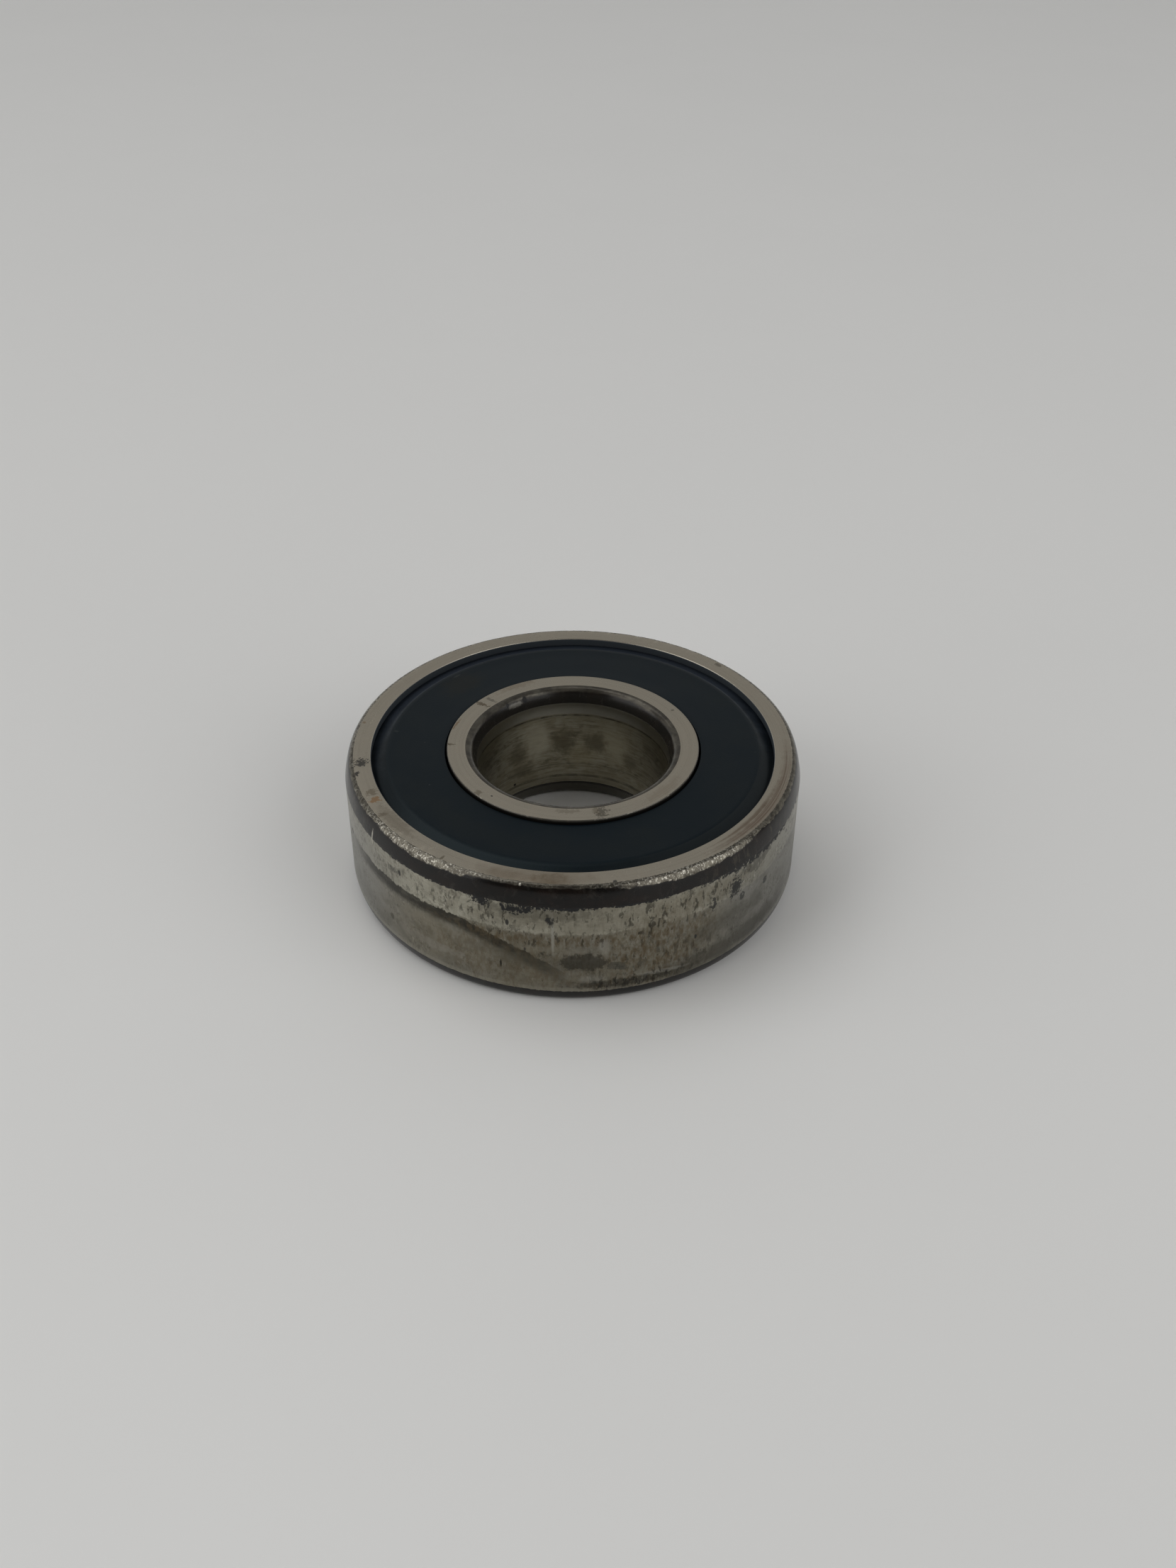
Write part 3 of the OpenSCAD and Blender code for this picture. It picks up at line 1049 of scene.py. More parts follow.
    def ground_faces(self, coat: TurnedCoat, lines: Signal) -> None:
        """Lays the two flat faces, with their rust, scorch and dirt.

        Args:
            coat: The ring's surface.
            lines: The grinding lines over the surface.
        """
        graph, tints = coat.graph, self.tints
        bite = STAIN.mask(graph, Size_mm=0.4, Flatness=1.0, Low=0.35, High=0.75, Seed=61.0) * 0.06
        face = self.flats(coat) * graph.ramp(coat.radius + bite, self.side_r + 0.10, self.side_r + 0.04)
        self.ground(coat, face, lines, 71.0)
        scorch = STAIN.mask(graph, Size_mm=0.9, Flatness=1.0, Low=0.35, High=0.65, Seed=83.0)
        rings = graph.ramp(lines, 0.44, 0.56)
        coat.lay_marks(coat.radius, face, Mark(262, 21.9, 14.0, 1.4, tints.tan, 0.30, Torn(0.7, 2.0, 0.5)))
        coat.lay_marks(
            coat.radius, face * (0.35 + rings * 0.65),
            Mark(335, 22.1, 24.0, 0.5, tints.scorch, 0.75, Torn(0.4, 1.0, 0.5)),
            Mark(324, 21.45, 13.0, 0.22, tints.scorch_line, 0.65, Torn(0.4, 1.0, 0.5)),
        )
        coat.lay_marks(
            coat.radius, face * (0.5 + scorch * 0.5),
            Mark(265, 21.9, 4.6, 0.9, tints.scorch_spot, 0.65, Torn(0.5, 0.8, 0.4), roughness=0.4),
            Mark(255, 22.0, 5.0, 0.7, tints.tan, 0.40, Torn(0.5, 0.8, 0.5)),
        )
        coat.lay_marks(
            coat.radius, face,
            Mark(206.8, 21.7, 1.1, 0.50, tints.rust, 0.85, Torn(1.6, 0.5, 0.2), roughness=0.5, metal=0.3),
            Mark(203.4, 21.6, 1.3, 0.60, tints.mottle, 0.60, Torn(1.8, 0.35, 0.25), roughness=0.5),
            Mark(189.4, 21.75, 1.7, 0.55, tints.residue, 0.90, Torn(2.2, 0.26, 0.12),
                 roughness=0.5, metal=0.2),
            Mark(194.3, 22.35, 1.0, 0.26, tints.residue, 0.90, Torn(1.4, 0.25, 0.15),
                 slope=0.12, roughness=0.5, metal=0.2),
            Mark(213.6, 22.1, 0.8, 0.50, tints.mottle, 0.45, Torn(0.8, 0.3, 0.3), slope=-0.2),
            Mark(218, 21.6, 7.0, 0.70, tints.mottle, 0.30, Torn(1.0, 0.5, 0.4)),
            Mark(280.6, 22.45, 0.55, 0.22, tints.residue, 0.90, Torn(0.3, 0.3, 0.2),
                 roughness=0.6, metal=0.0),
            Mark(237.3, 22.3, 0.35, 0.35, tints.mottle, 0.60, Torn(0.4, 0.3, 0.3)),
            Mark(44, 22.2, 1.0, 0.30, tints.smudge, 0.60, Torn(1.0, 0.3, 0.3)),
            Mark(170.5, 22.3, 0.5, 0.18, tints.rust, 0.50, Torn(0.5, 0.3, 0.3)),
        )


@dataclass(frozen=True)
class InnerRingFinish(RingFinish):
    """Ground faces, with a bore stained by the shaft that it sat on."""

    name: str = "ground_inner_ring"
    face_r: float = 11.13
    edge_r: float = 12.93
    upper_line: float = 12.4
    lower_line: float = 1.9
    skin: float = 0.05
    film: float = 0.012
    wear_lines: tuple[tuple[float, float, float], ...] = (
        (10.85, 0.10, 0.8), (4.35, 0.05, 0.5), (2.75, 0.16, 0.6),
    )

    def paint(self, graph: Graph) -> Coat:
        """The bore and its stains, then the corners, the faces, and the outer edge in painted shade.

        Args:
            graph: The material's node tree.

        Returns:
            The finished coat.
        """
        tints, top = self.tints, self.width
        coat = TurnedCoat(graph, tints.bore, 0.30)
        lines = MARKS.mask(graph, Lines_per_mm=7.0, Drift=0.05)
        self.stained_bore(coat, lines)
        self.corners(coat)
        face = self.flats(coat) * graph.span(coat.radius, self.face_r - 0.03, self.edge_r, 0.02)
        self.ground(coat, face, lines, 73.0)
        self.face_dirt(coat, face)
        outside = graph.ramp(coat.radius, self.edge_r - 0.01, self.edge_r + 0.015)
        glint = STAIN.mask(graph, Size_mm=0.7, Flatness=1.0, Low=0.52, High=0.68, Seed=29.0)
        edge = graph.ramp(coat.height, top - 0.26, top - 0.10)
        # Painted shade: the ring's outside is laid near black for the shaded gap under the seal lip, with
        # worn steel only along its top band.
        coat.lay(outside, tints.edge_painted_shade, roughness=0.28, metal=0.2)
        coat.lay(outside * edge * (0.35 + glint * 0.60), tints.edge_worn, roughness=0.30, metal=1.0)
        coat.relief = coat.relief + lines * self.line_relief
        return coat

    def corners(self, coat: TurnedCoat) -> None:
        """Lays scale on both bore corners, rubbed along the upper one, with painted shade below the rubbed
        band.

        Args:
            coat: The ring's surface.
        """
        graph, tints, height, top = coat.graph, self.tints, coat.height, self.width
        ends = graph.either(
            graph.ramp(height, self.upper_line - 0.02, self.upper_line + 0.05),
            graph.ramp(height, self.lower_line + 0.02, self.lower_line - 0.05),
        )
        corner = ends * graph.ramp(coat.radius, self.face_r + 0.02, self.face_r - 0.03)
        self.scale(coat, corner, 57.0)
        drift = STAIN.mask(graph, Size_mm=2.4, Flatness=1.0, Low=0.3, High=0.7, Seed=22.0) * 0.16
        upper = graph.ramp(height + drift, top - 0.42, top - 0.10)
        rubbed = STAIN.mask(graph, Size_mm=1.6, Flatness=3.0, Low=0.36, High=0.66, Seed=23.0)
        fine = STAIN.mask(graph, Size_mm=0.3, Flatness=2.0, Low=0.30, High=0.70, Seed=26.0)
        film = graph.mix(rubbed, tints.worn_dark, tints.worn)
        coat.lay(corner * upper * (0.40 + fine * 0.3), film, roughness=0.24, metal=0.85, rise=0.15)
        # Painted shade: the lower part of the upper bore corner, where it turns down into the bore, is
        # darkened.
        grime = graph.span(height, self.upper_line, top - 0.5, 0.2)
        coat.lay(corner * grime * 0.5, tints.corner_painted_shade, roughness=0.34, metal=0.3)
        foot = graph.ramp(height, self.lower_line, self.lower_line - 0.6)
        coat.lay(corner * foot * 0.8, tints.corner_foot, roughness=0.34, metal=0.7)
        coat.lay_marks(
            height, corner,
            Mark(121, 13.55, 1.6, 0.30, tints.residue, 0.9, Torn(0.5, 0.5, 0.25), roughness=0.5),
            Mark(133, 13.5, 1.2, 0.30, tints.residue, 0.7, Torn(0.5, 0.5, 0.25), roughness=0.5),
            Mark(128, 13.35, 5.0, 0.25, tints.bright, 0.18, Torn(0.6, 0.4, 0.4), roughness=0.3, metal=1.0),
        )

    def stained_bore(self, coat: TurnedCoat, lines: Signal) -> None:
        """Lays the brown film, the blotches and the wear lines of the bore.

        Args:
            coat: The ring's surface.
            lines: The grinding lines over the surface.
        """
        graph, tints, height = coat.graph, self.tints, coat.height
        film = STAIN.mask(graph, Size_mm=2.6, Flatness=1.3, Low=0.38, High=0.62, Seed=2.0)
        coat.lay(film * 0.85, tints.bore_film, roughness=0.33)
        blots = STAIN.mask(graph, Size_mm=1.3, Flatness=2.0, Low=0.48, High=0.66, Seed=8.0)
        middle = graph.span(height, 3.8, 9.6, 0.8)
        coat.lay(blots * middle * 0.75, tints.bore_dark, roughness=0.38)
        streaks = STAIN.mask(graph, Size_mm=1.8, Flatness=9.0, Low=0.46, High=0.62, Seed=12.0)
        coat.lay(streaks * 0.45, tints.bore_dark, roughness=0.36)
        coat.lay(graph.ramp(lines, 0.45, 0.7) * 0.30, tints.bore_dark)
        collar = graph.ramp(height, 10.95, 11.15)
        coat.lay(collar * 0.75, tints.bore_grey, roughness=0.28)
        coat.lay_marks(
            height, graph.span(height, 2.0, 12.4, 0.2),
            Mark(64, 7.6, 12.0, 2.4, tints.bore_light, 0.65, Torn(0.5, 2.0, 0.6)),
            Mark(114, 8.2, 8.0, 2.2, tints.bore_pale, 0.70, Torn(0.5, 2.0, 0.6)),
            Mark(86, 5.6, 9.0, 1.4, tints.bore_straw, 0.50, Torn(0.5, 2.0, 0.6)),
            Mark(76, 7.3, 7.0, 1.2, tints.bore_dark, 0.75, Torn(0.7, 0.8, 0.5)),
            Mark(97, 7.2, 7.0, 1.5, tints.bore_dark, 0.80, Torn(0.7, 0.8, 0.5)),
            Mark(128, 7.0, 7.0, 1.3, tints.bore_dark, 0.65, Torn(0.7, 0.8, 0.5)),
            Mark(52, 6.2, 6.0, 0.9, tints.bore_dark, 0.55, Torn(0.7, 0.8, 0.5)),
            Mark(124, 4.4, 7.0, 0.8, tints.bore_dark, 0.60, Torn(0.7, 0.8, 0.5)),
            Mark(131, 3.1, 0.9, 0.16, tints.residue, 0.85, Torn(0.5, 0.3, 0.3), roughness=0.5),
        )
        broken = STAIN.mask(graph, Size_mm=1.4, Flatness=1.0, Low=0.35, High=0.6, Seed=19.0)
        for line, deep, tone in self.wear_lines:
            wear = graph.span(height, line - deep, line + deep, 0.07)
            coat.lay(wear * (0.35 + broken * 0.65) * tone, tints.wear_line, roughness=0.4)
        coat.lay(graph.span(height, 2.15, 2.45, 0.12) * 0.5, tints.bore_rim)

    def face_dirt(self, coat: TurnedCoat, face: Signal) -> None:
        """Lays the pit and the smudges of the upper face.

        Args:
            coat: The ring's surface.
            face: Where the flat faces are.
        """
        tints = self.tints
        coat.lay_marks(
            coat.radius, face,
            Mark(229, 12.05, 0.6, 0.10, tints.residue, 0.95, Torn(0.3, 0.3, 0.2), roughness=0.6, metal=0.0),
            Mark(284.5, 11.9, 2.6, 0.75, tints.smudge, 0.75, Torn(2.2, 0.35, 0.2),
                 slope=-0.10, roughness=0.4),
            Mark(282.0, 11.6, 1.6, 0.55, tints.mottle, 0.45, Torn(1.4, 0.5, 0.4), roughness=0.4),
            Mark(181, 12.6, 0.9, 0.40, tints.mottle, 0.75, Torn(1.6, 0.3, 0.2), roughness=0.4),
            Mark(143.5, 12.3, 1.4, 0.70, tints.mottle, 0.80, Torn(2.0, 0.35, 0.2),
                 slope=0.12, roughness=0.4),
            Mark(137.5, 12.0, 0.9, 0.50, tints.smudge, 0.60, Torn(1.8, 0.3, 0.2), roughness=0.4),
            Mark(164, 12.75, 4.0, 0.12, tints.rust, 0.60, Torn(1.0, 0.35, 0.3), slope=0.02, roughness=0.4),
            Mark(120, 12.6, 9.0, 0.45, tints.tan, 0.35, Torn(1.2, 0.5, 0.5)),
            Mark(223, 12.7, 1.8, 0.45, tints.mottle, 0.55, Torn(1.6, 0.3, 0.2), slope=0.14, roughness=0.4),
            Mark(31, 12.3, 0.6, 0.20, tints.smudge, 0.55, Torn(0.8, 0.3, 0.3)),
            Mark(268, 11.5, 5.0, 0.30, tints.mottle, 0.30, Torn(2.0, 0.4, 0.3)),
            Mark(318, 12.1, 12.0, 0.50, tints.tan, 0.20, Torn(1.4, 0.8, 0.5)),
        )


@dataclass(frozen=True)
class RubberTints:
    """The colours of black nitrile rubber and of what touched it, and the painted light on its bevel."""

    skin: Colour = (0.0008, 0.0036, 0.0064)
    smear: Colour = (0.0036, 0.0056, 0.0064)
    bevel: Colour = (0.0014, 0.0032, 0.0050)
    # Painted light: these two lift the bevel on its far side and on its right side.
    bevel_far_painted_light: Colour = (0.022, 0.028, 0.038)
    bevel_right_painted_light: Colour = (0.012, 0.014, 0.015)
    dust: Colour = (0.06, 0.06, 0.055)
    thumb: Colour = (0.0065, 0.0065, 0.0050)
    scratch: Colour = (0.028, 0.030, 0.028)
    nick: Colour = (0.030, 0.034, 0.032)
    cut: Colour = (0.0010, 0.0014, 0.0018)
    haze: Colour = (0.0034, 0.0050, 0.0056)


@dataclass(frozen=True)
class SealRubberFinish(Finish):
    """Moulded black nitrile rubber, satin on its face and glossier on its bevel."""

    name: str = "moulded_rubber"
    relief_mm: float = 0.012
    tints: RubberTints = field(default_factory=RubberTints)
    flat_r: float = 19.2
    sheen: float = 0.20
    sheen_tint: tuple[float, float, float, float] = (0.70, 0.93, 1.0, 1.0)

    def paint(self, graph: Graph) -> Coat:
        """The satin face with faint smears, then the bevel with painted light on its far and right sides, the
        dust and the finger marks.

        Args:
            graph: The material's node tree.

        Returns:
            The finished coat.
        """
        tints = self.tints
        coat = TurnedCoat(graph, tints.skin, 0.34, 0.0)
        smear = STAIN.mask(graph, Size_mm=4.5, Flatness=1.0, Low=0.42, High=0.72, Seed=6.0)
        coat.lay(smear * 0.6, tints.smear, roughness=0.44)
        bevel = graph.ramp(coat.radius, self.flat_r - 0.02, self.flat_r + 0.05)
        coat.lay(bevel, tints.bevel, roughness=0.30)
        # Painted light: the bevel is lightened on its far side and on its right side.
        coat.lay_marks(
            coat.radius, bevel,
            Mark(95, 20.0, 80.0, 1.4, tints.bevel_far_painted_light, 1.0, Torn(0.3, 3.0, 0.3)),
            Mark(318, 20.0, 34.0, 1.4, tints.bevel_right_painted_light, 0.9, Torn(0.3, 3.0, 0.5)),
        )
        dust = SPECKS.mask(graph, Spacing_mm=1.1, Share=0.10, Size=0.08, Seed=2.0)
        coat.lay(dust * 0.5, tints.dust, roughness=0.7)
        coat.lay_marks(
            coat.radius, graph.maths("MAXIMUM", 1.0 - bevel, 0.5),
            Mark(136, 17.0, 8.0, 1.6, tints.thumb, 0.8, Torn(0.6, 1.2, 0.5), roughness=0.28),
            Mark(134, 18.6, 1.2, 0.15, tints.scratch, 0.6, Torn(0.6, 0.5)),
            Mark(172, 18.7, 0.3, 0.25, tints.nick, 0.6, Torn(0.4, 0.5)),
            Mark(262, 19.9, 0.25, 0.5, tints.cut, 0.9, Torn(0.2, 0.4, 0.4), roughness=0.2),
            Mark(250, 16.8, 40.0, 1.4, tints.haze, 0.5, Torn(1.0, 2.4, 0.6), roughness=0.42),
        )
        grain = STAIN.mask(graph, Size_mm=0.16, Flatness=1.0, Low=0.2, High=0.8, Seed=33.0)
        coat.relief = grain * 0.25
        return coat

    def settle(self, shader: bpy.types.Node) -> None:
        """Keeps the rubber's sheen low and cool."""
        shader.inputs["Specular IOR Level"].default_value = self.sheen
        shader.inputs["Specular Tint"].default_value = self.sheen_tint


@dataclass(frozen=True)
class BallFinish(Finish):
    """A lapped ball with the slightest haze."""

    name: str = "lapped_ball"
    tone: Colour = (0.62, 0.62, 0.63)
    oiled: Colour = (0.55, 0.54, 0.52)

    def paint(self, graph: Graph) -> Coat:
        """A mirror that a film of oil dulls in patches.

        Args:
            graph: The material's node tree.

        Returns:
            The finished coat.
        """
        haze = STAIN.mask(graph, Size_mm=1.4, Flatness=1.0, Low=0.4, High=0.7)
        coat = Coat(graph, self.tone, 0.07)
        coat.lay(haze, self.oiled, roughness=0.13)
        return coat


@dataclass(frozen=True)
class StripSteelFinish(Finish):
    """Tumbled strip or wire: dull, with fine scratches and a film of grease."""

    name: str = "pressed_strip"
    tone: Colour = (0.42, 0.405, 0.375)
    greased: Colour = (0.27, 0.24, 0.19)
    roughness: float = 0.36

    def paint(self, graph: Graph) -> Coat:
        """Fine tumbling marks under an uneven film.

        Args:
            graph: The material's node tree.

        Returns:
            The finished coat.
        """
        film = STAIN.mask(graph, Size_mm=1.8, Flatness=1.0, Low=0.4, High=0.65, Seed=4.0)
        fine = STAIN.mask(graph, Size_mm=0.18, Flatness=1.0, Low=0.4, High=0.6, Seed=7.0)
        coat = Coat(graph, self.tone, self.roughness)
        coat.lay(film * 0.6, self.greased, roughness=self.roughness * 0.8)
        coat.lay(fine * 0.25, self.greased, roughness=self.roughness * 1.2, rise=0.3)
        return coat


@dataclass(frozen=True)
class FloorFinish(Finish):
    """A plain pale bench top."""

    name: str = "pale_floor"
    tone: Colour = (0.87, 0.87, 0.85)
    uneven: Colour = (0.84, 0.84, 0.82)

    def paint(self, graph: Graph) -> Coat:
        """One pale tone with a trace of unevenness.

        Args:
            graph: The material's node tree.

        Returns:
            The finished coat.
        """
        soft = STAIN.mask(graph, Size_mm=60.0, Flatness=1.0, Low=0.2, High=0.8)
        coat = Coat(graph, self.tone, 0.42, 0.0)
        coat.lay(soft * 0.4, self.uneven, roughness=0.48)
        return coat


# ---------------------------------------------------------------------------------- shapes


class Facing(Enum):
    """Which end of the bearing a seal closes."""

    UPPER = "upper"
    LOWER = "lower"


@dataclass
class Outline:
    """A closed half section of a turned piece, as (radius, height) points in millimetres."""

    points: list[Point] = field(default_factory=list)
    corner_steps: int = 22
    corner_fullness: float = 1.5
    corner_taper_deg: float = 10.0

    def line(self, *points: Point) -> "Outline":
        """Goes straight to each point in turn.

        Args:
            *points: The points.

        Returns:
            This outline.
        """
        self.points.extend(points)
        return self

    def arc(self, centre: Point, radius: float, start: float, end: float, steps: int = 12) -> "Outline":
        """Follows a circle.

        Args:
            centre: The circle's centre.
            radius: The circle's radius.
            start: The angle of the first point, in degrees from the radial direction.
            end: The angle of the last point.
            steps: How many straight stretches stand for the arc.

        Returns:
            This outline.
        """
        for i in range(steps + 1):
            angle = math.radians(start + (end - start) * i / steps)
            across, up = radius * math.cos(angle), radius * math.sin(angle)
            self.points.append((centre[0] + across, centre[1] + up))
        return self

    def corner(self, point: Point, size: Point, out_r: int, out_z: int, from_side: bool = False) -> "Outline":
        """Rounds a ring's corner with a full curve that meets the side at a shallow taper.

        Args:
            point: The sharp corner.
            size: How far the corner reaches along the face and along the side.
            out_r: 1 where the metal lies inside the corner's radius, -1 where it lies outside.
            out_z: 1 at the upper face, -1 at the lower face.
            from_side: True to run from the side to the face, and False to run from the face.

        Returns:
            This outline.
        """
        face = Vector((point[0] - out_r * size[0], point[1]))
        side = Vector((point[0], point[1] - out_z * size[1]))
        lean = size[1] * math.tan(math.radians(self.corner_taper_deg))
        shoulder = Vector((point[0] - out_r * lean, point[1]))
        run = []
        for i in range(self.corner_steps + 1):
            u = i / self.corner_steps
            shares = ((1.0 - u) ** 2, 2.0 * self.corner_fullness * u * (1.0 - u), u * u)
            place = (face * shares[0] + shoulder * shares[1] + side * shares[2]) / sum(shares)
            run.append((place.x, place.y))
        self.points.extend(reversed(run) if from_side else run)
        return self

    def turned_over(self, width: float) -> "Outline":
        """The same outline at the other end of the bearing."""
        return Outline([(r, width - z) for r, z in reversed(self.points)])

    def fine(self, longest: float) -> list[Point]:
        """The points, with more of them wherever a straight stretch is too long.

        Args:
            longest: The longest stretch that may stay, in millimetres.

        Returns:
            The points in order.
        """
        out: list[Point] = []
        for (r0, z0), (r1, z1) in zip(self.points, self.points[1:] + self.points[:1], strict=True):
            parts = max(1, math.ceil(math.hypot(r1 - r0, z1 - z0) / longest))
            out += [(r0 + (r1 - r0) * i / parts, z0 + (z1 - z0) * i / parts) for i in range(parts)]
        return out


Shaper = Callable[[float, float, float], Point]


def finished(name: str, mesh: bpy.types.Mesh, finish: Finish, body: str, replaced: list[str],
             crease: float = 32.0) -> bpy.types.Object:
    """Makes a mesh into a piece of the bearing.

    Args:
        name: The piece's name.
        mesh: Its mesh, in metres in the frame.
        finish: Its finish.
        body: The CAD body that it rides on.
        replaced: The CAD nodes that it stands for.
        crease: The angle in degrees over which an edge stays sharp.

    Returns:
        The new object.
    """
    mesh.shade_smooth()
    mesh.set_sharp_from_angle(angle=math.radians(crease))
    mesh.materials.append(finish.material())
    piece = bpy.data.objects.new(name, mesh)
    bpy.context.scene.collection.objects.link(piece)
    normals = piece.modifiers.new("Even normals", "WEIGHTED_NORMAL")
    normals.keep_sharp = True
    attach(piece, body)
    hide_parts(*replaced)
    LOG.info("%s: %d faces, on %s", name, len(mesh.polygons), body)
    return piece


def lathe(name: str, outline: Outline, segments: int, longest: float,
          shape: "Shaper | None" = None) -> bpy.types.Mesh:
    """Turns an outline about the axis.

    Args:
        name: The mesh's name.
        outline: The closed half section.
        segments: How many steps there are round the axis.
        longest: The longest stretch between two points of the section, in millimetres.
        shape: Moves a point: it takes radius, height and azimuth in radians, and gives radius and height.

    Returns:
        The mesh, in metres, with its faces looking out.
    """
    section = outline.fine(longest)
    count = len(section)
    sides = zip(section, section[1:] + section[:1], strict=True)
    if sum(a[0] * b[1] - b[0] * a[1] for a, b in sides) < 0:
        section.reverse()
    vertices = []
    for i in range(segments):
        azimuth = 2 * math.pi * i / segments
        c, s = math.cos(azimuth) * MM, math.sin(azimuth) * MM
        for r, z in section:
            if shape:
                r, z = shape(r, z, azimuth)
            vertices.append((r * c, r * s, z * MM))
    faces = []
    for i in range(segments):
        here, there = i * count, (i + 1) % segments * count
        for j in range(count):
            k = (j + 1) % count
            faces.append((here + j, there + j, there + k, here + k))
    mesh = bpy.data.meshes.new(name)
    mesh.from_pydata(vertices, [], faces)
    mesh.validate()
    return mesh


@dataclass
class RaceGeometry:
    """The ball set's pitch circle and the grooves that it runs in."""

    pitch_r: float = 16.75
    ball_r: float = 3.969
    middle: float = 7.0
    contact_deg: float = 40.0
    race_r: float = 4.1278
    clearance: float = 0.03
    race_steps: int = 28

    def centre(self, side: int) -> Point:
        """The centre of a groove's section.

        Args:
            side: -1 for the outer ring's groove, 1 for the inner ring's.

        Returns:
            The centre, as radius and height.
        """
        off = self.race_r - self.ball_r - self.clearance
        angle = math.radians(self.contact_deg)
        return self.pitch_r + side * off * math.cos(angle), self.middle + side * off * math.sin(angle)

    def groove(self, outline: Outline, side: int, start_r: float, end_r: float) -> Outline:
        """Adds a groove's arc to a ring's outline.

        Args:
            outline: The outline so far.
            side: -1 for the outer ring, 1 for the inner ring.
            start_r: The radius of the shoulder that the arc starts from.
            end_r: The radius of the shoulder that it ends at.

        Returns:
            The outline.
        """
        centre = self.centre(side)
        deepest = 90.0 + 90.0 * side
        reach = [math.degrees(math.acos(side * (centre[0] - r) / self.race_r)) for r in (start_r, end_r)]
        start, end = deepest + side * reach[0], deepest - side * reach[1]
        return outline.arc(centre, self.race_r, start, end, self.race_steps)


@dataclass(frozen=True)
class Nicks:
    """Small nicks knocked out of a corner: where they crowd, how large they are and how deep."""

    spans: tuple[tuple[float, float], ...] = ((231.0, 24.0), (300.0, 17.0), (60.0, 45.0), (145.0, 30.0))
    least: float = 0.16
    depth: float = 0.045
    coarse_size: float = 0.9
    fine_size: float = 0.32
    coarse_share: float = 0.55
    fine_share: float = 0.75
    spared: float = 0.08
    fine_offset: float = 40.0
    sideways: float = 0.6

    def crowding(self, azimuth: float) -> float:
        """How thick the nicks are at an azimuth.

        Args:
            azimuth: The azimuth in radians.

        Returns:
            The share of their full depth, from the least to 1.
        """
        half = FULL_TURN / 2
        most = self.least
        for middle, spread in self.spans:
            off = ((math.degrees(azimuth) - middle + half) % FULL_TURN - half) / spread
            most = max(most, 1.0 - off * off)
        return most

    def cut(self, r: float, z: float, azimuth: float) -> float:
        """How deep the nicks are at a point.

        Args:
            r: The point's radius.
            z: Its height.
            azimuth: Its azimuth in radians.

        Returns:
            The depth in millimetres.
        """
        x, y = r * math.cos(azimuth), r * math.sin(azimuth)
        coarse = noise.noise(Vector((x, y, z)) / self.coarse_size)
        fine = noise.noise(Vector((x, y, z + self.fine_offset)) / self.fine_size)
        rough = max(0.0, self.coarse_share * coarse + self.fine_share * fine - self.spared)
        return rough * self.crowding(azimuth) * self.depth


@dataclass
class OuterRing:
    """The outer ring: two grooves for the seals, a raceway, and a nicked upper corner."""

    races: RaceGeometry
    outer_r: float
    width: float
    upper_corner: Point = (1.0, 2.1)
    lower_corner: Point = (1.0, 1.4)
    rim_r: float = 20.75
    rim_t: float = 0.8
    rim_edge: float = 0.08
    groove_r: float = 21.35
    ledge: float = 1.85
    shoulder_r: float = 18.7
    counterbore_r: float = 20.629
    nicks: Nicks = field(default_factory=Nicks)
    nicked_z: float = 0.9
    nicked_r: float = 0.12
    nicked_middle: float = 0.2
    nicked_reach: float = 0.62
    segments: int = 1080
    longest: float = 1.2

    def outline(self) -> Outline:
        """The ring's half section, from its upper face outwards and round.

        Returns:
            The outline.
        """
        w, rim_r, groove_r, edge = self.width, self.rim_r, self.groove_r, self.rim_edge
        out = Outline().corner((self.outer_r, w), self.upper_corner, 1, 1)
        out.corner((self.outer_r, 0.0), self.lower_corner, 1, -1, from_side=True)
        out.line((rim_r + edge, 0.0), (rim_r, edge), (rim_r, self.rim_t))
        out.line((groove_r, self.rim_t), (groove_r, self.ledge), (self.counterbore_r, self.ledge))
        self.races.groove(out, -1, self.counterbore_r, self.shoulder_r)
        out.line((self.shoulder_r, w - self.ledge), (groove_r, w - self.ledge), (groove_r, w - self.rim_t))
        return out.line((rim_r, w - self.rim_t), (rim_r, w - edge), (rim_r + edge, w))

    def nicked(self, r: float, z: float, azimuth: float) -> Point:
        """Knocks small nicks out of the upper corner and leaves the rest of the ring true.

        Args:
            r: A point's radius.
            z: Its height.
            azimuth: Its azimuth in radians.

        Returns:
            The radius and height that the point moves to.
        """
        start_r = self.outer_r - self.upper_corner[0]
        if z < self.width - self.nicked_z or r < start_r - self.nicked_r:
            return r, z
        fade = max(0.0, 1.0 - abs(r - start_r - self.nicked_middle) / self.nicked_reach)
        cut = self.nicks.cut(r, z, azimuth) * fade
        return r - cut * self.nicks.sideways, z - cut

    def build(self, finish: Finish) -> None:
        """Builds and dresses the ring.

        Args:
            finish: The ring's finish.
        """
        name = "outer_ring_machined"
        mesh = lathe(name, self.outline(), self.segments, self.longest, self.nicked)
        finished(name, mesh, finish, "outer_ring", ["outer_ring"])


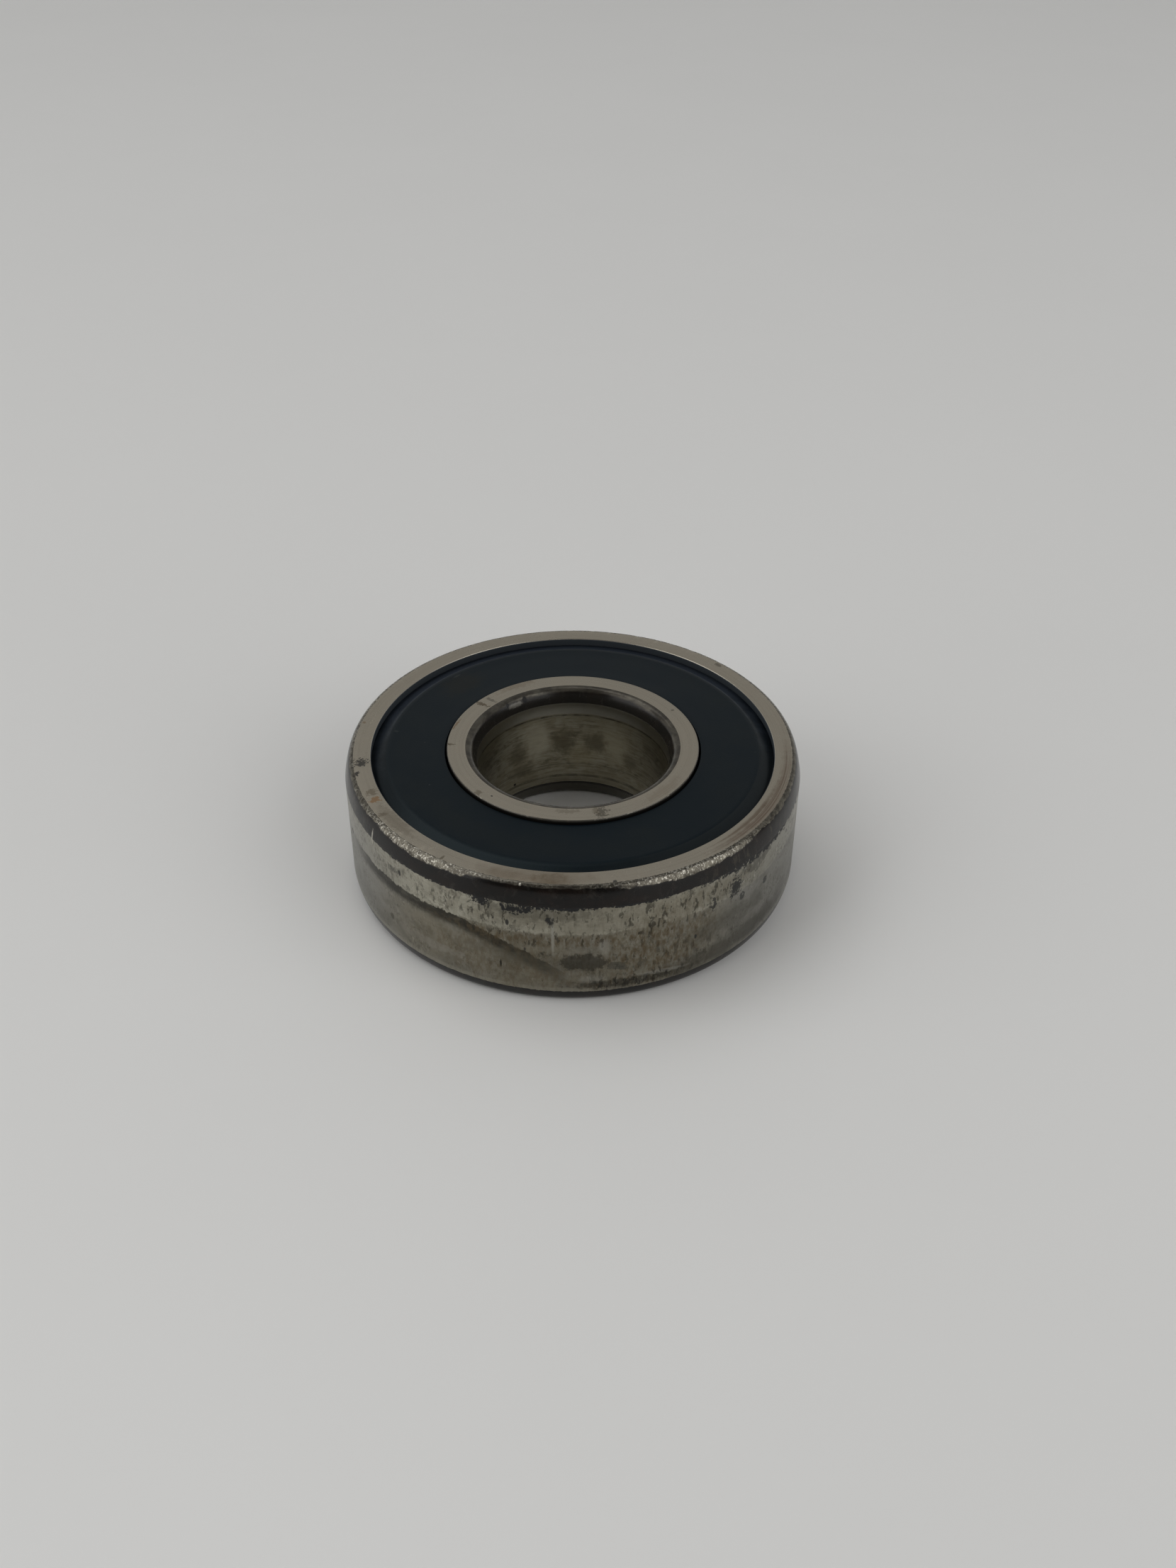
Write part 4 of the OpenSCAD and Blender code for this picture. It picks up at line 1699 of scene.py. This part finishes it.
@dataclass
class InnerRing:
    """The inner ring: a raceway, two lands for the seal lips, and a rounded bore."""

    races: RaceGeometry
    bore_r: float
    width: float
    upper_corner: Point = (1.13, 1.6)
    lower_corner: Point = (1.1, 1.9)
    land_r: float = 13.0
    land_edge: float = 0.07
    shoulder_r: float = 14.9
    step_z: float = 2.1
    segments: int = 720
    longest: float = 1.0

    def outline(self) -> Outline:
        """The ring's half section, from its lower face outwards and round.

        Returns:
            The outline.
        """
        w = self.width
        out = Outline().line((self.land_r - self.land_edge, 0.0), (self.land_r, self.land_edge))
        out.line((self.land_r, self.step_z), (self.shoulder_r, self.step_z))
        self.races.groove(out, 1, self.shoulder_r, self.land_r)
        out.line((self.land_r, w - self.land_edge), (self.land_r - self.land_edge, w))
        out.corner((self.bore_r, w), self.upper_corner, -1, 1)
        return out.corner((self.bore_r, 0.0), self.lower_corner, -1, -1, from_side=True)

    def build(self, finish: Finish) -> None:
        """Builds and dresses the ring.

        Args:
            finish: The ring's finish.
        """
        name = "inner_ring_machined"
        mesh = lathe(name, self.outline(), self.segments, self.longest)
        finished(name, mesh, finish, "inner_ring", ["inner_ring"])


@dataclass
class Seal:
    """One seal: moulded rubber over a stamped steel insert."""

    facing: Facing
    width: float
    recess: float = 0.35
    flat_r: float = 19.2
    skin_r: float = 13.2
    lip_r: float = 13.04
    insert_depth: float = 0.95
    insert_t: float = 0.4
    insert_r: Point = (14.4, 20.2)
    insert_rim: float = 0.65
    insert_bend: float = 0.12
    skin_edge: float = 0.06
    skin_foot: float = 0.75
    bead: tuple[Point, ...] = (
        (20.50, 0.835), (20.56, 0.87), (20.95, 0.88), (21.22, 0.95), (21.33, 1.08),
        (21.33, 1.58), (21.27, 1.72),
    )
    heel: tuple[Point, ...] = ((21.10, 1.85), (19.5, 1.85), (19.3, 1.65))
    lip: tuple[Point, ...] = (
        (15.3, 0.0), (15.1, 0.2), (14.5, 0.2), (14.26, -0.03), (14.15, -0.08), (14.04, -0.05),
        (13.8, 0.1), (13.3, 0.1),
    )
    lip_face: Point = (0.20, 0.32)
    sag: float = 0.018
    sag_drift: float = 0.014
    sag_size: float = 5.0
    sag_margin: Point = (0.3, 0.1)
    sag_fade: float = 1.2
    sag_skin: float = 0.02
    edge_steps: int = 4
    bend_steps: int = 5
    rubber_segments: int = 540
    rubber_longest: float = 0.4
    insert_segments: int = 360
    insert_longest: float = 1.2

    def at(self, radius: float, depth: float) -> Point:
        """A point at a depth below the upper face."""
        return radius, self.width - depth

    def insert_outline(self) -> Outline:
        """The insert's half section, with its outer bend rounded.

        Returns:
            The outline.
        """
        inner, outer = self.insert_r
        top, back = self.insert_depth, self.insert_depth + self.insert_t
        foot, bend, rim_r = top + self.insert_rim, self.insert_bend, outer - self.insert_t
        out = Outline().line(self.at(inner, top))
        out.arc(self.at(outer - bend, top + bend), bend, 90.0, 0.0, self.bend_steps)
        out.line(self.at(outer, foot), self.at(rim_r, foot), self.at(rim_r, back))
        return out.line(self.at(inner, back))

    def rubber_outline(self) -> Outline:
        """The rubber's half section: its face and bevel, the bead, the insert's seat and the lip.

        Returns:
            The outline.
        """
        inner, outer = self.insert_r
        top, back = self.insert_depth, self.insert_depth + self.insert_t
        foot, edge, rim_r = top + self.insert_rim, self.skin_edge, outer - self.insert_t
        centre = self.at(self.skin_r + edge, self.recess + edge)
        out = Outline().arc(centre, edge, 180.0, 90.0, self.edge_steps)
        out.line(self.at(self.flat_r, self.recess))
        out.line(*(self.at(r, depth) for r, depth in self.bead + self.heel))
        out.line(self.at(self.heel[-1][0], back), self.at(rim_r, back), self.at(rim_r, foot))
        out.line(self.at(outer, foot), self.at(outer, top), self.at(inner, top))
        out.line(self.at(inner, back), *(self.at(r, back + depth) for r, depth in self.lip))
        out.line(*(self.at(self.lip_r, back - rise) for rise in self.lip_face))
        return out.line(self.at(self.skin_r, self.skin_foot))

    def soft(self, r: float, z: float, azimuth: float) -> Point:
        """Lets the moulded face sink a little between its edges, as rubber does over a thin insert.

        Args:
            r: A point's radius.
            z: Its height.
            azimuth: Its azimuth in radians.

        Returns:
            The radius and height that the point moves to.
        """
        upper = self.facing is Facing.UPPER
        inner, outer = self.skin_r + self.sag_margin[0], self.flat_r - self.sag_margin[1]
        depth = z - self.width + self.recess if upper else self.recess - z
        if abs(depth) > self.sag_skin or not inner < r < outer:
            return r, z
        x, y = r * math.cos(azimuth), r * math.sin(azimuth)
        sag = self.sag + self.sag_drift * noise.noise(Vector((x, y, 0.0)) / self.sag_size)
        fade = min(1.0, (r - inner) / self.sag_fade, (outer - r) / self.sag_fade)
        return r, z + (-sag if upper else sag) * fade

    def build(self, rubber: Finish, insert: Finish) -> None:
        """Builds and dresses the rubber and its insert.

        Args:
            rubber: The rubber's finish.
            insert: The insert's finish.
        """
        stem = f"{self.facing.value}_seal"
        skin, plate = self.rubber_outline(), self.insert_outline()
        if self.facing is Facing.LOWER:
            skin, plate = skin.turned_over(self.width), plate.turned_over(self.width)
        mesh = lathe(f"{stem}_moulding", skin, self.rubber_segments, self.rubber_longest, self.soft)
        finished(f"{stem}_moulding", mesh, rubber, "outer_ring", [f"{stem}_rubber"])
        mesh = lathe(f"{stem}_plate", plate, self.insert_segments, self.insert_longest)
        finished(f"{stem}_plate", mesh, insert, "outer_ring", [f"{stem}_insert"])


@dataclass
class BallSet:
    """The balls, each a cube's six faces pushed out to a sphere."""

    races: RaceGeometry
    count: int
    cuts: int = 20

    def ball(self, name: str, centre: Vector) -> bpy.types.Mesh:
        """One ball's mesh.

        Args:
            name: The mesh's name.
            centre: The ball's centre, in metres.

        Returns:
            The mesh, in metres.
        """
        vertices: dict[tuple[float, ...], int] = {}
        faces = []
        ticks = range(self.cuts + 1)
        for axis in range(3):
            for side in (-1.0, 1.0):
                grid = [[self.corner(axis, side, i, j) for j in ticks] for i in ticks]
                index = [[vertices.setdefault(p, len(vertices)) for p in row] for row in grid]
                for i in range(self.cuts):
                    for j in range(self.cuts):
                        quad = (index[i][j], index[i + 1][j], index[i + 1][j + 1], index[i][j + 1])
                        faces.append(quad if side > 0 else quad[::-1])
        mesh = bpy.data.meshes.new(name)
        places = [centre + Vector(p).normalized() * self.races.ball_r * MM for p in vertices]
        mesh.from_pydata(places, [], faces)
        return mesh

    def corner(self, axis: int, side: float, i: int, j: int) -> tuple[float, ...]:
        """A grid corner on one face of the cube, spaced so that the quads come out nearly even.

        Args:
            axis: The axis that the face is square to.
            side: -1 or 1, for which of its two faces.
            i: The corner's place along one edge.
            j: Its place along the other.

        Returns:
            The corner, on a cube that reaches 1 from its centre.
        """
        a, b = (round(math.tan((2 * k / self.cuts - 1) * math.pi / 4), 9) for k in (i, j))
        place = [0.0, 0.0, 0.0]
        place[axis], place[(axis + 1) % 3], place[(axis + 2) % 3] = side, a, b
        return tuple(place)

    def build(self, finish: Finish) -> None:
        """Builds and dresses every ball.

        Args:
            finish: The balls' finish.
        """
        for i in range(1, self.count + 1):
            node = f"ball_{i:02d}"
            low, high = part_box(node)
            mesh = self.ball(f"{node}_lapped", (low + high) / 2)
            finished(f"{node}_lapped", mesh, finish, node, [node], SMOOTH_ALL_OVER)


# ---------------------------------------------------------------------------------- studio


@dataclass(frozen=True)
class Softbox:
    """One soft light. Distances and sizes are metres and the power is watts."""

    name: str
    azimuth: float
    elevation: float
    distance: float
    size: tuple[float, float]
    power: float
    upright: bool


@dataclass(frozen=True)
class Room:
    """What the steel and the rubber mirror: a pale room with a dark screen on the near side."""

    low: Colour = (0.285, 0.278, 0.268)
    high: Colour = (0.33, 0.33, 0.335)
    far_wall: Colour = (0.56, 0.56, 0.55)
    screen: Colour = (0.055, 0.050, 0.046)
    backdrop: Colour = (0.50, 0.50, 0.49)
    screen_left: Point = (0.905, -0.425)
    screen_right: Point = (0.971, 0.240)

    def paint(self, graph: Graph, x: Signal, y: Signal, z: Signal) -> Signal:
        """The room's colour in every direction.

        Args:
            graph: The world's node tree.
            x: The direction's X.
            y: The direction's Y.
            z: The direction's Z.

        Returns:
            The colour.
        """
        room = graph.mix(graph.ramp(z, -0.1, 0.9), self.low, self.high)
        far_wall = graph.ramp(z, 0.46, 0.22) * graph.ramp(y, 0.15, 0.60)
        room = graph.mix(far_wall, room, self.far_wall)
        left = graph.ramp(x * self.screen_left[0] + y * self.screen_left[1], -0.36, -0.26)
        right = graph.ramp(x * self.screen_right[0] + y * self.screen_right[1], 0.24, 0.15)
        return graph.mix(left * right * graph.ramp(y, 0.16, 0.0), room, self.screen)


@dataclass
class Studio:
    """Floor, light and camera. Its lengths are metres, apart from the lens and the sensor."""

    room: Room = field(default_factory=Room)
    softboxes: tuple[Softbox, ...] = (
        Softbox("left_softbox", 197.0, 38.0, 0.80, (0.70, 1.00), 2.6, True),
        Softbox("right_softbox", 327.0, 38.0, 0.80, (0.74, 1.00), 2.5, True),
        Softbox("top_softbox", 142.0, 62.0, 3.4, (2.2, 2.2), 16.0, False),
    )
    target: Vector = field(default_factory=lambda: Vector((1.58, -7.0, 14.0)) * MM)
    azimuth: float = 270.0
    elevation: float = 36.42
    distance: float = 156.93 * MM
    roll: float = 0.34
    lens: float = 36.14
    sensor: float = 36.0
    clip: tuple[float, float] = (0.01, 10.0)
    floor_r: float = 0.60
    floor_gap: float = 0.02 * MM
    floor_steps: int = 180

    def direction(self, azimuth: float, elevation: float) -> Vector:
        """A unit vector towards an azimuth and elevation, in degrees."""
        a, e = math.radians(azimuth), math.radians(elevation)
        return Vector((math.cos(a) * math.cos(e), math.sin(a) * math.cos(e), math.sin(e)))

    def camera(self) -> None:
        """Sets the camera at the viewing angle."""
        data = bpy.data.cameras.new("camera")
        data.sensor_width = self.sensor
        data.lens = self.lens
        data.clip_start, data.clip_end = self.clip
        camera = bpy.data.objects.new("camera", data)
        bpy.context.scene.collection.objects.link(camera)
        back = self.direction(self.azimuth, self.elevation)
        aim = (-back).to_track_quat("-Z", "Y").to_matrix().to_4x4()
        place = Matrix.Translation(self.target + back * self.distance)
        camera.matrix_world = place @ aim @ Matrix.Rotation(math.radians(self.roll), 4, "Z")
        bpy.context.scene.camera = camera

    def hang(self, box: Softbox) -> None:
        """Hangs one soft light that faces the bearing.

        Args:
            box: The light. It stands straight up where it is upright, and tilts to the bearing otherwise.
        """
        data = bpy.data.lights.new(box.name, "AREA")
        data.shape = "RECTANGLE"
        data.size, data.size_y = box.size
        data.energy = box.power
        light = bpy.data.objects.new(box.name, data)
        bpy.context.scene.collection.objects.link(light)
        towards = self.direction(box.azimuth, box.elevation)
        light.location = self.target + towards * box.distance
        light.rotation_mode = "QUATERNION"
        level = Vector((towards.x, towards.y, 0.0)) if box.upright else towards
        light.rotation_quaternion = (-level).to_track_quat("-Z", "Y")
        light.visible_camera = False

    def surroundings(self) -> None:
        """Sets the room around the bearing, with a plain backdrop where the camera sees past the floor."""
        world = bpy.data.worlds.new("room")
        bpy.context.scene.world = world
        world.use_nodes = True
        graph = Graph(world.node_tree)
        where = graph.node("ShaderNodeTexCoord")
        split = graph.node("ShaderNodeSeparateXYZ")
        world.node_tree.links.new(where.outputs["Generated"], split.inputs[0])
        x, y, z = (Signal(graph, out) for out in split.outputs)
        seen = Signal(graph, graph.node("ShaderNodeLightPath").outputs["Is Camera Ray"])
        backdrop = graph.mix(seen, self.room.paint(graph, x, y, z), self.room.backdrop)
        shade = world.node_tree.nodes["Background"]
        graph.feed(shade.inputs["Color"], backdrop)
        shade.inputs["Strength"].default_value = 1.0

    def floor(self, finish: Finish) -> None:
        """Lays the round floor that the bearing rests on.

        Args:
            finish: The floor's finish.
        """
        mesh = bpy.data.meshes.new("floor")
        steps = self.floor_steps
        edge = [self.direction(FULL_TURN * i / steps, 0.0) * self.floor_r for i in range(steps)]
        mesh.from_pydata(edge, [], [tuple(range(steps))])
        mesh.materials.append(finish.material())
        floor = bpy.data.objects.new("floor", mesh)
        floor.location.z = -self.floor_gap
        bpy.context.scene.collection.objects.link(floor)

    def build(self) -> None:
        """Sets up the whole studio."""
        self.camera()
        self.surroundings()
        self.floor(FloorFinish())
        for box in self.softboxes:
            self.hang(box)


def dress_cad(nodes: list[str], finish: Finish) -> None:
    """Gives a finish to CAD nodes that keep their own meshes.

    Args:
        nodes: The nodes' names.
        finish: Their finish.
    """
    for name in nodes:
        piece = frame["nodes"][name]
        piece.data.materials.clear()
        piece.data.materials.append(finish.material())
        LOG.info("%s keeps its CAD mesh", name)


def main() -> None:
    """Builds the bearing's looks in order, then the studio."""
    logging.basicConfig(level=logging.INFO, format="%(name)s: %(message)s")
    low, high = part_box("outer_ring")
    bore = next(m for m in frame["record"]["mounts"] if m["name"] == "shaft_bore")
    outer_r, width = high.x / MM, (high.z - low.z) / MM
    races = RaceGeometry(middle=width / 2)
    OuterRing(races, outer_r, width).build(OuterRingFinish())
    InnerRing(races, bore["dims"]["r_mm"], width).build(InnerRingFinish())
    strip = StripSteelFinish()
    plate = StripSteelFinish(
        "stamped_plate", tone=(0.30, 0.30, 0.29), greased=(0.18, 0.17, 0.15), roughness=0.45)
    rivet = StripSteelFinish(
        "rivet_wire", tone=(0.60, 0.58, 0.54), greased=(0.42, 0.39, 0.33), roughness=0.30)
    for facing in Facing:
        Seal(facing, width).build(SealRubberFinish(), plate)
    nodes = sorted(frame["nodes"])
    balls = [n for n in nodes if n.startswith("ball_")]
    BallSet(races, len(balls)).build(BallFinish())
    dress_cad([n for n in nodes if n.endswith("cage_half")], strip)
    dress_cad([n for n in nodes if n.startswith("cage_rivet")], rivet)
    Studio().build()
    bpy.context.scene.view_settings.view_transform = "Standard"


if __name__ == "__main__":
    main()
